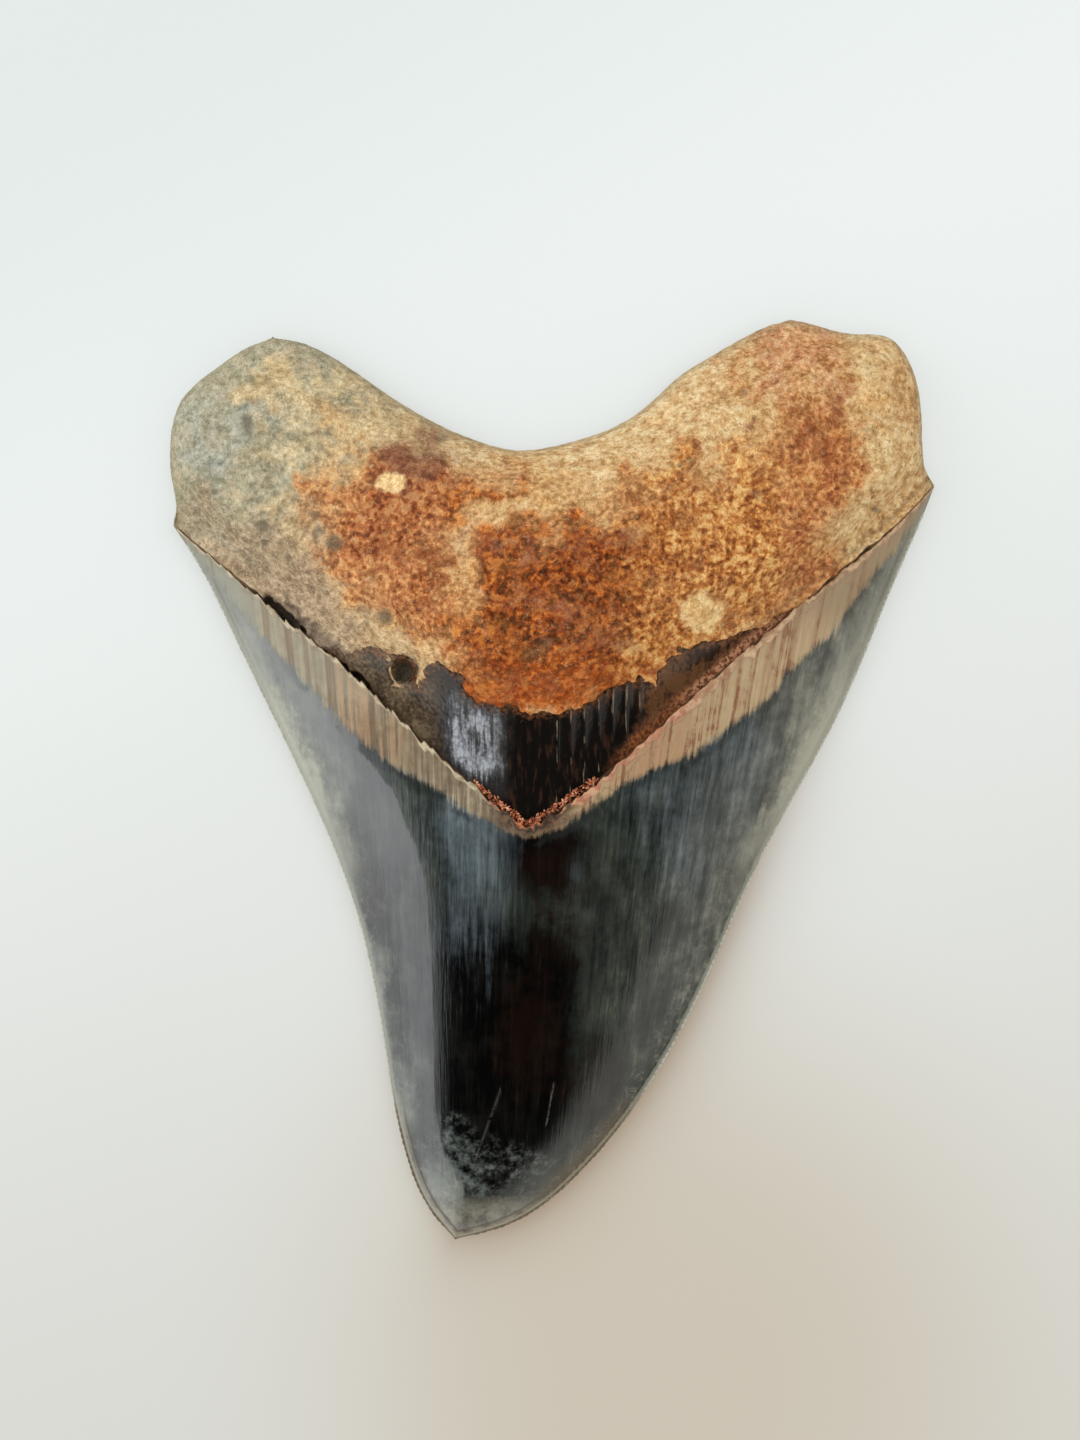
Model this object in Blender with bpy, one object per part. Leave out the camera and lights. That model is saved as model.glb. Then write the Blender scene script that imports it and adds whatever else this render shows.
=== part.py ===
"""A fossil megalodon tooth, lying on its flat outer (labial) face with the bulging inner (lingual) face up.

The tooth is one natural piece, so it is one solid. Its surface is a loft of two sheets of sections, an upper
and a lower one, that meet along the tooth's outline. Each section is a chevron: the first follows the notched
base of the root, the middle one the V where the enamel starts, and the last ones close on the tip.

Frame: +Z up, away from the surface that the tooth lies on. +Y runs from the tip to the root. The origin is the
middle of the tooth's box, on the resting plane. The numbers below are millimetres until the mesh is made.
"""

import math

import bmesh
import bpy
import numpy as np
from mathutils import Vector, noise

MM = 0.001

# ---------------------------------------------------------------- driving dimensions, in millimetres
ROOT_MOST_THICK = 27.5  # at the swelling above the V
LOBE_THICK = 15.0  # over the middle of a root lobe
CROWN_THICK = 18.4  # at the point of the V
BLADE_LIFT = 3.0  # the cutting edge stands this high above the resting plane
RIM_LIFT = 6.8  # the widest line round the root stands this high
RIM_ROUND = 8.5  # how far in from the outline the root is rounded, above
UNDER_ROUND = 4.5  # and below
BLADE_BEVEL = 14.0  # how far in from the cutting edge the outer face curves up
ENAMEL_STEP = 0.6  # the enamel's upper edge stands this proud of the neck
CREVICE_DEEP = 1.5  # the open crack between the root and the enamel
SERRATION_PITCH = 1.3
SERRATION_HIGH = 0.26
LUMP_HIGH = 0.45  # the root's coarse unevenness

# The outline, as points on smooth curves (x, y).
NOTCH = (-4.4, 45.8)
LEFT_CREST = (-38.9, 61.5)
RIGHT_CREST = (33.2, 64.0)
LEFT_SHOULDER = (-53.0, 35.6)
RIGHT_SHOULDER = (53.6, 41.1)
TIP = (-13.6, -64.9)
V_POINT = (-3.3, -6.1)

ROOT_EDGE = [LEFT_SHOULDER, (-51.9, 37.4), (-53.1, 42.5), (-53.2, 46.4), (-51.7, 52.7), (-46.9, 57.3), LEFT_CREST,
             (-29.3, 58.3), (-23.8, 54.5), (-18.3, 51.0), (-10.0, 47.1), NOTCH, (1.2, 46.6), (12.3, 51.4),
             (17.4, 56.0), (23.4, 59.8), (28.4, 62.6), RIGHT_CREST, (41.5, 62.2), (46.9, 61.6), (49.1, 59.4),
             (50.7, 55.9), (51.7, 47.3), (52.0, 44.4), RIGHT_SHOULDER]
ENAMEL_LEFT = [LEFT_SHOULDER, (-40.3, 25.2), (-28.9, 16.0), (-17.8, 5.9), (-8.3, -2.2), V_POINT]
ENAMEL_RIGHT = [V_POINT, (2.4, -2.6), (13.2, 6.3), (24.2, 16.0), (36.9, 26.3), (48.6, 36.0), RIGHT_SHOULDER]
BLADE_LEFT = [LEFT_SHOULDER, (-48.4, 28.1), (-45.7, 22.5), (-35.9, 2.1), (-27.3, -19.2), (-23.6, -36.8), (-20.3, -53.5),
              (-17.0, -60.9), TIP]
BLADE_RIGHT = [RIGHT_SHOULDER, (52.5, 38.1), (49.8, 31.7), (46.6, 24.0), (40.3, 9.1), (30.1, -9.9),
               (19.2, -33.6), (4.3, -55.1), (-5.5, -62.6), TIP]

# Heights read along the tooth: (y, height) for the crown, (share of the way across, height) for the root.
CROWN_RIDGE = [(-64.9, 3.2), (-60.0, 5.2), (-52.0, 8.2), (-38.0, 12.0), (-22.0, 15.4), (-6.0, CROWN_THICK), (12.0, 20.6), (41.0, 22.5)]
BLADE_HEIGHT = [(-64.9, 2.4), (-50.0, 2.8), (-20.0, BLADE_LIFT), (20.0, 3.6), (41.0, 4.8)]
RIDGE_X = [(-64.9, -13.6), (-50.0, -9.5), (-30.0, -5.0), (-6.0, -3.3), (41.0, -2.0)]
ROOT_CREST = [(0.0, 11.5), (0.09, 14.0), (0.22, 18.0), (0.36, 23.2), (0.5, ROOT_MOST_THICK), (0.63, 24.5),
              (0.78, 19.5), (0.9, 16.5), (1.0, 13.5)]
NECK_WIDTH = [(0.0, 5.0), (0.2, 8.0), (0.38, 13.0), (0.5, 18.0), (0.62, 14.0), (0.8, 8.0), (1.0, 5.0)]
CREVICE_ALONG = [(0.0, 0.2), (0.05, 0.5), (0.14, 0.9), (0.26, 1.0), (0.33, 0.6), (0.42, 0.15), (0.6, 0.1),
                 (0.8, 0.3), (0.88, 0.6), (0.97, 0.3), (1.0, 0.1)]

# Single features of the root: (x, y, how far they reach, how high they stand).
ROOT_FEATURES = [
    (19.7, 22.7, 3.0, 0.8),  # a pale boss above the right arm of the V
    (41.2, 49.1, 3.6, 0.7),  # an oblique scar on the right lobe
    (36.5, 52.5, 3.2, 0.5),
    (-15.1, 26.7, 1.6, -0.7),  # a short crease left of the swelling
    (-15.6, 31.0, 1.5, -0.5),
    (-30.0, 44.0, 6.0, -0.6),  # a shallow hollow on the left lobe
    (46.5, 59.5, 3.0, 0.7),  # the knob at the corner of the right lobe
]
# Pits that are cut: (x, y, radius, depth). The first is the tooth's nutrient hole, beside the neck.
PITS = [(-19.6, 14.8, 1.7, 2.2), (-38.3, 33.0, 0.8, 0.7), (-38.8, 30.0, 0.7, 0.7), (-28.6, 29.6, 0.9, 0.7),
        (-35.0, 28.2, 0.8, 0.6), (-22.2, 19.5, 0.9, 0.7)]
OUTER_ENAMEL_RISE = 17.0  # on the outer face the enamel reaches this much further up than the V's point
OUTER_GROOVE = 0.5
OUTER_HOLLOW = (-3.0, 34.0, 17.0, 7.0, 0.9)  # a hollow in the root's outer face: x, y, two radii, depth

COLUMNS = 47
ROOT_ROWS = 22
CROWN_ROWS = 25


# ---------------------------------------------------------------- curves
def smoothstep(low, high, value):
    share = np.clip((value - low) / (high - low), 0.0, 1.0)
    return share * share * (3.0 - 2.0 * share)


def lookup(table, value):
    """A smooth reading of a short table of (place, number): a cubic curve with no overshoot."""
    places, numbers = np.array(table, float).T
    slopes = np.gradient(numbers, places)
    value = np.clip(value, places[0], places[-1])
    low = np.clip(np.searchsorted(places, value, side="right") - 1, 0, len(places) - 2)
    step = places[low + 1] - places[low]
    t = (value - places[low]) / step
    return ((2 * t**3 - 3 * t**2 + 1) * numbers[low] + (t**3 - 2 * t**2 + t) * step * slopes[low]
            + (3 * t**2 - 2 * t**3) * numbers[low + 1] + (t**3 - t**2) * step * slopes[low + 1])


def spline(points, shares, first=None, last=None):
    """A natural cubic spline through the points, read at shares of its length, or of a stretch between two of them."""
    points = np.array(points, float)
    knots = np.append(0.0, np.cumsum(np.linalg.norm(np.diff(points, axis=0), axis=1)))
    gap = np.diff(knots)
    size = len(points)
    matrix = np.eye(size)
    right = np.zeros((size, 2))
    for i in range(1, size - 1):
        matrix[i, i - 1:i + 2] = gap[i - 1], 2 * (gap[i - 1] + gap[i]), gap[i]
        right[i] = 6 * ((points[i + 1] - points[i]) / gap[i] - (points[i] - points[i - 1]) / gap[i - 1])
    bend = np.linalg.solve(matrix, right)
    fine = np.linspace(0.0, knots[-1], 400)
    low = np.clip(np.searchsorted(knots, fine, side="right") - 1, 0, size - 2)
    a = (knots[low + 1] - fine)[:, None]
    b = (fine - knots[low])[:, None]
    h = gap[low][:, None]
    curve = ((bend[low] * a**3 + bend[low + 1] * b**3) / (6 * h)
             + (points[low] / h - bend[low] * h / 6) * a + (points[low + 1] / h - bend[low + 1] * h / 6) * b)
    run = np.append(0.0, np.cumsum(np.linalg.norm(np.diff(curve, axis=0), axis=1)))
    start = 0.0 if first is None else np.interp(knots[first], fine, run)
    end = run[-1] if last is None else np.interp(knots[last], fine, run)
    wanted = start + np.asarray(shares, float) * (end - start)
    return np.stack([np.interp(wanted, run, curve[:, axis]) for axis in range(2)], axis=-1)


def two_arms(left, right, shares):
    """One curve made of two splines that meet in a corner at its middle."""
    shares = np.asarray(shares, float)
    first = spline(left, np.clip(shares * 2, 0, 1))
    second = spline(right, np.clip(shares * 2 - 1, 0, 1))
    return np.where((shares <= 0.5)[:, None], first, second)


def spread(count, at_start, at_end):
    """Shares from 0 to 1 whose steps are finer near the start and the end, by those ratios."""
    middle = (np.arange(count) + 0.5) / count
    steps = np.minimum(1.0, np.minimum(at_start + 7 * (1 - at_start) * middle,
                                       at_end + 7 * (1 - at_end) * (1 - middle)))
    shares = np.append(0.0, np.cumsum(steps))
    return shares / shares[-1]


def distance_to(line, points):
    """How far each point is from a line of points."""
    nearest = np.full(points.shape[:-1], np.inf)
    for start, end in zip(line[:-1], line[1:]):
        along = end - start
        t = np.clip(((points - start) @ along) / (along @ along), 0.0, 1.0)
        gap = np.linalg.norm(points - (start + t[..., None] * along), axis=-1)
        nearest = np.minimum(nearest, gap)
    return nearest


def distance_to_enamel(points):
    """How far each point is from the V where the enamel starts, with the crease above the V's point rounded off."""
    shares = np.linspace(0, 1, 81)
    left = distance_to(spline(ENAMEL_LEFT, shares), points)
    right = distance_to(spline(ENAMEL_RIGHT, shares), points)
    nearest = np.minimum(left, right)
    blend = np.maximum(0.9 * nearest, 1e-6)
    share = np.clip(1 - np.abs(left - right) / blend, 0.0, 1.0)
    return nearest - share**2 * blend / 4


def patch(top, bottom, left, right, across, down):
    """A Coons patch: a grid of points between four curves that share their corners."""
    u = across[None, :, None]
    v = down[:, None, None]
    sheet = (1 - v) * top[None] + v * bottom[None] + (1 - u) * left[:, None] + u * right[:, None]
    corners = ((1 - u) * (1 - v) * top[0] + u * (1 - v) * top[-1]
               + (1 - u) * v * bottom[0] + u * v * bottom[-1])
    return sheet - corners


def root_sides(across, down):
    """The base of the root, and the outer sides of its two lobes, each from its crest to its shoulder."""
    left, right = ROOT_EDGE.index(LEFT_CREST), ROOT_EDGE.index(RIGHT_CREST)
    base = spline(ROOT_EDGE, across, left, right)
    return base, spline(ROOT_EDGE, 1 - down, 0, left), spline(ROOT_EDGE, down, right, len(ROOT_EDGE) - 1)


def outline(steps=160):
    """The closed line round the tooth, seen from above."""
    shares = np.linspace(0, 1, steps)
    sides = [spline(ROOT_EDGE, np.linspace(0, 1, steps * 3)), spline(BLADE_RIGHT, shares), spline(BLADE_LEFT, shares)[::-1]]
    return np.concatenate([side[:-1] for side in sides] + [sides[0][:1]])


# ---------------------------------------------------------------- the tooth's form
def blade_x(curve, y):
    """Where a cutting edge is, at a height along the tooth."""
    points = spline(curve, np.linspace(0, 1, 200))
    return np.interp(y, points[::-1, 1], points[::-1, 0])


def crown_top(x, y):
    """The arched inner face of the crown, carried on under the root."""
    ridge = lookup(RIDGE_X, y)
    half = np.where(x < ridge, ridge - blade_x(BLADE_LEFT, y), blade_x(BLADE_RIGHT, y) - ridge)
    across = np.clip(np.abs(x - ridge) / np.maximum(half, 0.3), 0.0, 1.0)
    low = lookup(BLADE_HEIGHT, y)
    return low + (lookup(CROWN_RIDGE, y) - low) * (1 - across**1.9)


def lumps(points, size, seed):
    """Smooth bumps from -1 to 1."""
    flat = points.reshape(-1, 2)
    read = [noise.noise(Vector((px / size, py / size, seed))) for px, py in flat]
    return np.array(read).reshape(points.shape[:-1])


def root_top(points, across, down, from_enamel):
    """The inner face of the root: a V-shaped bar, thickest in the middle, that falls to the neck and the rim."""
    crest = lookup(ROOT_CREST, across)
    back = 0.8 + 0.2 * smoothstep(0.0, 0.5, down)
    neck = smoothstep(0.22, 1.15, from_enamel / lookup(NECK_WIDTH, across))
    body = crest * back + LUMP_HIGH * (lumps(points, 13.0, 1.7) + 0.6 * lumps(points, 6.0, 4.2))
    low = crown_top(points[..., 0], points[..., 1]) - ENAMEL_STEP
    surface = low + (body - low) * neck
    for x, y, reach, high in ROOT_FEATURES:
        gap = np.hypot(points[..., 0] - x, points[..., 1] - y)
        surface = surface + high * np.exp(-((gap / reach) ** 2) * 2)
    groove = np.exp(-(((from_enamel - 0.9) / 0.8) ** 2))
    return surface - CREVICE_DEEP * lookup(CREVICE_ALONG, across) * groove


def rounded(distance, width):
    """A quarter-round rise from 0 at the outline to 1 a width in from it."""
    share = np.clip(distance / width, 0.0, 1.0)
    return np.sqrt(1 - (1 - share) ** 2)


def sheets():
    """The upper and lower sheets of points, row by row from the root's base to the tip, without the tip itself."""
    across = spread(COLUMNS, 0.16, 0.16)
    root_rows = spread(ROOT_ROWS, 0.22, 0.16)
    crown_rows = spread(CROWN_ROWS, 0.14, 0.35)
    enamel = two_arms(ENAMEL_LEFT, ENAMEL_RIGHT, across)
    base, left_lobe, right_lobe = root_sides(across, root_rows)
    root = patch(base, enamel, left_lobe, right_lobe, across, root_rows)
    point = np.repeat([TIP], len(across), axis=0)
    crown = patch(enamel, point, spline(BLADE_LEFT, crown_rows), spline(BLADE_RIGHT, crown_rows), across, crown_rows)
    points = np.concatenate([root, crown[1:-1]])
    rim = distance_to(outline(), points)
    from_enamel = distance_to_enamel(points)
    from_enamel[len(root):] *= -1  # negative on the crown
    from_enamel[len(root) - 1] = 0.0
    column = np.repeat(across[None], len(points), axis=0)
    down = np.concatenate([root_rows, np.ones(len(points) - len(root_rows))])
    down = np.repeat(down[:, None], len(across), axis=1)

    x, y = points[..., 0], points[..., 1]
    on_root = smoothstep(-1.0, 6.0, from_enamel)
    level = lookup(BLADE_HEIGHT, y) * (1 - on_root) + RIM_LIFT * on_root
    blade = 1 - 0.3 * np.exp(-rim / 2.0)
    crown_rise = (crown_top(x, y) - lookup(BLADE_HEIGHT, y)) * blade
    crown_level = lookup(BLADE_HEIGHT, y) + crown_rise
    rim_round = rounded(rim, RIM_ROUND * np.clip(on_root, 0.12, 1.0))
    root_level = level + (root_top(points, column, down, from_enamel) - level) * rim_round
    upper = np.where(from_enamel > 0.05, root_level, crown_level)

    lift = 1 - rounded(rim, UNDER_ROUND)
    bevel = np.clip(1 - rim / BLADE_BEVEL, 0.0, 1.0) ** 2
    lower = level * (lift * on_root + bevel * (1 - on_root))
    lower = lower + outer_relief(x, y)
    edge = np.zeros_like(rim, bool)
    edge[0, :] = edge[:, 0] = edge[:, -1] = True
    upper[edge] = level[edge]
    lower[edge] = level[edge]
    return np.dstack([points, upper]), np.dstack([points, lower]), len(root) - 1


def outer_relief(x, y):
    """The outer face: a groove where its enamel ends, and a shallow hollow in the root above it."""
    share = np.clip((x - LEFT_SHOULDER[0]) / (RIGHT_SHOULDER[0] - LEFT_SHOULDER[0]), 0, 1)
    shoulders = LEFT_SHOULDER[1] + (RIGHT_SHOULDER[1] - LEFT_SHOULDER[1]) * share
    middle = V_POINT[1] + OUTER_ENAMEL_RISE
    line = middle + (shoulders - middle) * np.abs(2 * share - 0.96) ** 1.5
    inside = smoothstep(4.0, 9.0, 53.0 - np.abs(x))
    groove = OUTER_GROOVE * np.clip(1 - np.abs(y - line) / 3.0, 0.0, 1.0) * inside
    hx, hy, wide, tall, deep = OUTER_HOLLOW
    hollow = deep * np.clip(1 - ((x - hx) / wide) ** 2 - ((y - hy) / tall) ** 2, 0.0, 1.0)
    return groove + hollow


# ---------------------------------------------------------------- the mesh
def remove_everything():
    for obj in list(bpy.data.objects):
        bpy.data.objects.remove(obj, do_unlink=True)


def collection(name):
    made = bpy.data.collections.new(name)
    bpy.context.scene.collection.children.link(made)
    return made


def principled(name, colour, roughness, metallic=0.0):
    material = bpy.data.materials.new(name)
    material.use_nodes = True
    shader = material.node_tree.nodes["Principled BSDF"]
    shader.inputs["Base Color"].default_value = (*colour, 1.0)
    shader.inputs["Roughness"].default_value = roughness
    shader.inputs["Metallic"].default_value = metallic
    return material


def saw(start, end, outside):
    """Points between two places on a cutting edge, every second one set outwards, as a fine saw."""
    run = end - start
    steps = max(2, round(run.length / (SERRATION_PITCH / 2)))
    steps += steps % 2
    outward = Vector((run.y, -run.x, 0.0)).normalized() * outside
    return [start + run * (k / steps) + outward * SERRATION_HIGH * (k % 2) for k in range(1, steps)]


def close_strip(mesh, chain, upper_inner, lower_inner, flip, corner=False):
    """Triangles between a chain of points on the edge and the two points inside it."""
    middle = 0 if corner else len(chain) // 2
    triangles = [(chain[k], chain[k + 1], upper_inner) for k in range(middle)]
    if lower_inner is not upper_inner:
        triangles.append((chain[middle], lower_inner, upper_inner))
    triangles += [(chain[k], chain[k + 1], lower_inner) for k in range(middle, len(chain) - 1)]
    for triangle in triangles:
        mesh.faces.new(triangle[::-1] if flip else triangle)


def edge_chains(mesh, points, enamel_row):
    """The vertices round the outline, shared by the two sheets, and the fine saw along each cutting edge."""
    rows, columns = points.shape[:2]
    base = [mesh.verts.new(place) for place in points[0]]
    tip = mesh.verts.new((*TIP, lookup(BLADE_HEIGHT, TIP[1])))
    sides = {}
    for column, corner, outside in ((0, base[0], -1), (columns - 1, base[-1], 1)):
        posts = [corner] + [mesh.verts.new(points[i, column]) for i in range(1, rows)] + [tip]
        chains = []
        for i, (start, end) in enumerate(zip(posts[:-1], posts[1:])):
            between = []
            if i > enamel_row:
                between = [mesh.verts.new(place) for place in saw(start.co, end.co, -outside)]
            chains.append([start, *between, end])
        sides[column] = chains
    return base, sides, tip


def add_sheet(mesh, points, border, downward):
    """Adds one sheet's inner vertices and its faces, inside the shared border."""
    base, sides, tip = border
    rows, columns = points.shape[:2]
    last = columns - 1
    grid = [base]
    for i in range(1, rows):
        inner = [mesh.verts.new(points[i, j]) for j in range(1, last)]
        grid.append([sides[0][i][0], *inner, sides[last][i][0]])
    for i in range(rows - 1):
        for j in range(1, last - 1):
            corners = [grid[i][j], grid[i + 1][j], grid[i + 1][j + 1], grid[i][j + 1]]
            mesh.faces.new(corners[::-1] if downward else corners)
        close_strip(mesh, sides[0][i], grid[i][1], grid[i + 1][1], downward, corner=i == 0)
        close_strip(mesh, sides[last][i], grid[i][last - 1], grid[i + 1][last - 1], not downward, corner=i == 0)
    for j in range(1, last - 1):
        corners = [grid[-1][j], tip, grid[-1][j + 1]]
        mesh.faces.new(corners[::-1] if downward else corners)
    close_strip(mesh, sides[0][-1], grid[-1][1], grid[-1][1], downward)
    close_strip(mesh, sides[last][-1], grid[-1][last - 1], grid[-1][last - 1], not downward)


def tooth_mesh():
    upper, lower, enamel_row = sheets()
    mesh = bmesh.new()
    border = edge_chains(mesh, upper, enamel_row)
    add_sheet(mesh, upper, border, downward=False)
    add_sheet(mesh, lower, border, downward=True)
    flat = {vert for vert in mesh.verts if vert.co.z < 1e-6}
    inside = [vert for vert in flat if all(edge.other_vert(vert) in flat for edge in vert.link_edges)]
    edges = [edge for edge in mesh.edges if edge.verts[0] in flat and edge.verts[1] in flat]
    bmesh.ops.dissolve_limit(mesh, angle_limit=math.radians(0.5), verts=inside, edges=edges)
    bmesh.ops.triangulate(mesh, faces=mesh.faces[:])
    return mesh


def centred(mesh):
    """Moves the mesh so that the origin is the middle of its box, on the resting plane, and turns it to metres."""
    corners = np.array([vert.co for vert in mesh.verts])
    middle = (corners.min(axis=0) + corners.max(axis=0)) / 2
    shift = Vector((-middle[0], -middle[1], -corners[:, 2].min()))
    for vert in mesh.verts:
        vert.co = (vert.co + shift) * MM
    return shift


def surface_height(mesh_object, x, y):
    """The height of the upper face at a place, in metres."""
    hit, place, _, _ = mesh_object.ray_cast(Vector((x, y, 0.1)), Vector((0, 0, -1)))
    return place.z if hit else 0.0


def cut_pits(tooth, shift, cutters):
    """Each pit is cut by a small ball that sits in the surface."""
    bpy.context.view_layer.update()
    for index, (x, y, radius, depth) in enumerate(PITS):
        place_x, place_y = (x + shift.x) * MM, (y + shift.y) * MM
        level = surface_height(tooth, place_x, place_y)
        bpy.ops.mesh.primitive_uv_sphere_add(segments=14, ring_count=8, radius=radius * MM)
        ball = bpy.context.object
        ball.name = f"pit_cutter_{index}"
        ball.location = (place_x, place_y, level + (radius - depth) * MM * 0.6)
        ball.scale.z = max(1.0, depth / radius)
        for owner in list(ball.users_collection):
            owner.objects.unlink(ball)
        cutters.objects.link(ball)
        ball.hide_render = True
        ball.display_type = "WIRE"
        cut = tooth.modifiers.new(f"pit_{index}", "BOOLEAN")
        cut.operation = "DIFFERENCE"
        cut.object = ball


def build_tooth(parts, cutters):
    form = tooth_mesh()
    shift = centred(form)
    data = bpy.data.meshes.new("tooth")
    form.to_mesh(data)
    form.free()
    tooth = bpy.data.objects.new("tooth", data)
    parts.objects.link(tooth)
    data.materials.append(principled("fossil tooth", (0.33, 0.22, 0.13), 0.55))
    data.shade_smooth()
    data.set_sharp_from_angle(angle=math.radians(50))
    cut_pits(tooth, shift, cutters)
    return tooth


def main():
    remove_everything()
    build_tooth(collection("megalodon tooth"), collection("cutters"))


main()
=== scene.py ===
# %% [markdown]
# # A fossil megalodon tooth
#
# A megalodon tooth has a thick porous root shaped like a wide V, a blade of hard glossy enamel, and between
# the two, on the inner face, a dark smooth band called the bourlette. This lesson dresses the measured
# solid of one such tooth. The solid stays the judge of size.

# %% Load the measured frame
import math
from types import SimpleNamespace

import bmesh
import bpy
import numpy as np
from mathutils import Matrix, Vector, noise


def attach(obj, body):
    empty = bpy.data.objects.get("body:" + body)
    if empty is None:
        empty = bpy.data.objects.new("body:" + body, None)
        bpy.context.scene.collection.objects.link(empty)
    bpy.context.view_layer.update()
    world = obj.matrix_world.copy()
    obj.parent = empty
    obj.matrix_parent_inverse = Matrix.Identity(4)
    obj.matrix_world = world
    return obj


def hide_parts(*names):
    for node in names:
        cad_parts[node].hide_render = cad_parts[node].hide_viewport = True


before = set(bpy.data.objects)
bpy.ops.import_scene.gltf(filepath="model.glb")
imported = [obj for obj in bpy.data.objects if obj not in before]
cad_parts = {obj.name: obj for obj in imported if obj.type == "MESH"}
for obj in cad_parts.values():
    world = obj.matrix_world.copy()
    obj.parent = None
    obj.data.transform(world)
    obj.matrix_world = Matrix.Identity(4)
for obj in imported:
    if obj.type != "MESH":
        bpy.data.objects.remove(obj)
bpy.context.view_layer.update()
MM = 0.001


def show(name, data):
    """Puts a camera, light or mesh into the scene as an object."""
    thing = bpy.data.objects.new(name, data)
    bpy.context.scene.collection.objects.link(thing)
    return thing


# %% [markdown]
# ## The view and the light
#
# The tooth lies on pale paper and is seen from straight above. One large soft lamp at the left stands for a
# window, and the rest is an even glow. Dull surfaces are lit by the whole room. Glossy enamel mirrors only
# bright walls and a dark ceiling, as it does when whoever looks down at it blocks the light: so its flat
# top stays black, and its flanks, which face the walls, turn grey. On the left flank that grey is partly
# painted into the enamel's colour as well.

# %% Camera
ORIGIN = (-0.145, 0.510)  # where the tooth's drawing origin sits in the frame, in millimetres
CAMERA_HIGH = 300.0
FRAME_TALL = 201.6  # how much paper the view takes in from top to bottom, at the height of the blade
BLADE_PLANE = 5.0
SENSOR = 36.0
VIEW_CENTRE = np.array([-1.61, 8.365])  # the point straight below the camera, from the drawing origin

camera_data = bpy.data.cameras.new("camera")
camera_data.sensor_width = SENSOR
camera_data.lens = SENSOR * (CAMERA_HIGH - BLADE_PLANE) / FRAME_TALL
camera = show("camera", camera_data)
camera.location = Vector((*(ORIGIN + VIEW_CENTRE), CAMERA_HIGH)) * MM
bpy.context.scene.camera = camera
bpy.context.scene.view_settings.view_transform = "Standard"
print("lens, mm:", round(camera_data.lens, 1))

# %% Lights
def panel(name, place, size, power, colour):
    """A soft rectangular light that faces the tooth."""
    data = bpy.data.lights.new(name, "AREA")
    data.shape = "RECTANGLE"
    data.size, data.size_y = size
    data.energy, data.color = power, colour
    light = show(name, data)
    light.location = place
    light.rotation_euler = (-Vector(place)).to_track_quat("-Z", "Y").to_euler()
    return light


window = panel("window", (-0.44, 0.16, 0.42), (0.42, 0.42), 1.9, (0.95, 0.98, 1.0))
window.visible_glossy = False

# %% [markdown]
# ## Sums on sockets
#
# Node trees are long to write by hand. Two small classes make them read like sums: `Nodes` adds any node,
# and `Value` is a socket that can be added, multiplied and compared. The same classes serve materials, the
# world and geometry.

# %% Values
class Value:
    """A socket that works in Python sums. Each sum adds one Math node."""

    def __init__(self, nodes, socket):
        self.nodes, self.socket = nodes, socket

    def __abs__(self):
        return self.nodes.sum_of("ABSOLUTE", self, 0.0)

    def step(self, low, high):
        """Rises smoothly from 0 to 1 as the value goes from low to high."""
        smooth = {"interpolation_type": "SMOOTHSTEP"}
        return self.nodes.node("ShaderNodeMapRange", smooth, {0: self, 1: low, 2: high})

    def lay(self, share, colour):
        """Lays another colour over this one, where the share is above 0."""
        self.socket = self.nodes.mix(share, self, colour).socket


def add_operator(name, operation):
    """Teaches Value one sum, with the value on either side of its sign."""
    setattr(Value, f"__{name}__", lambda self, other: self.nodes.sum_of(operation, self, other))
    setattr(Value, f"__r{name}__", lambda self, other: self.nodes.sum_of(operation, other, self))


for name, operation in (("add", "ADD"), ("sub", "SUBTRACT"), ("mul", "MULTIPLY"), ("truediv", "DIVIDE"),
                        ("pow", "POWER")):
    add_operator(name, operation)


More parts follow.
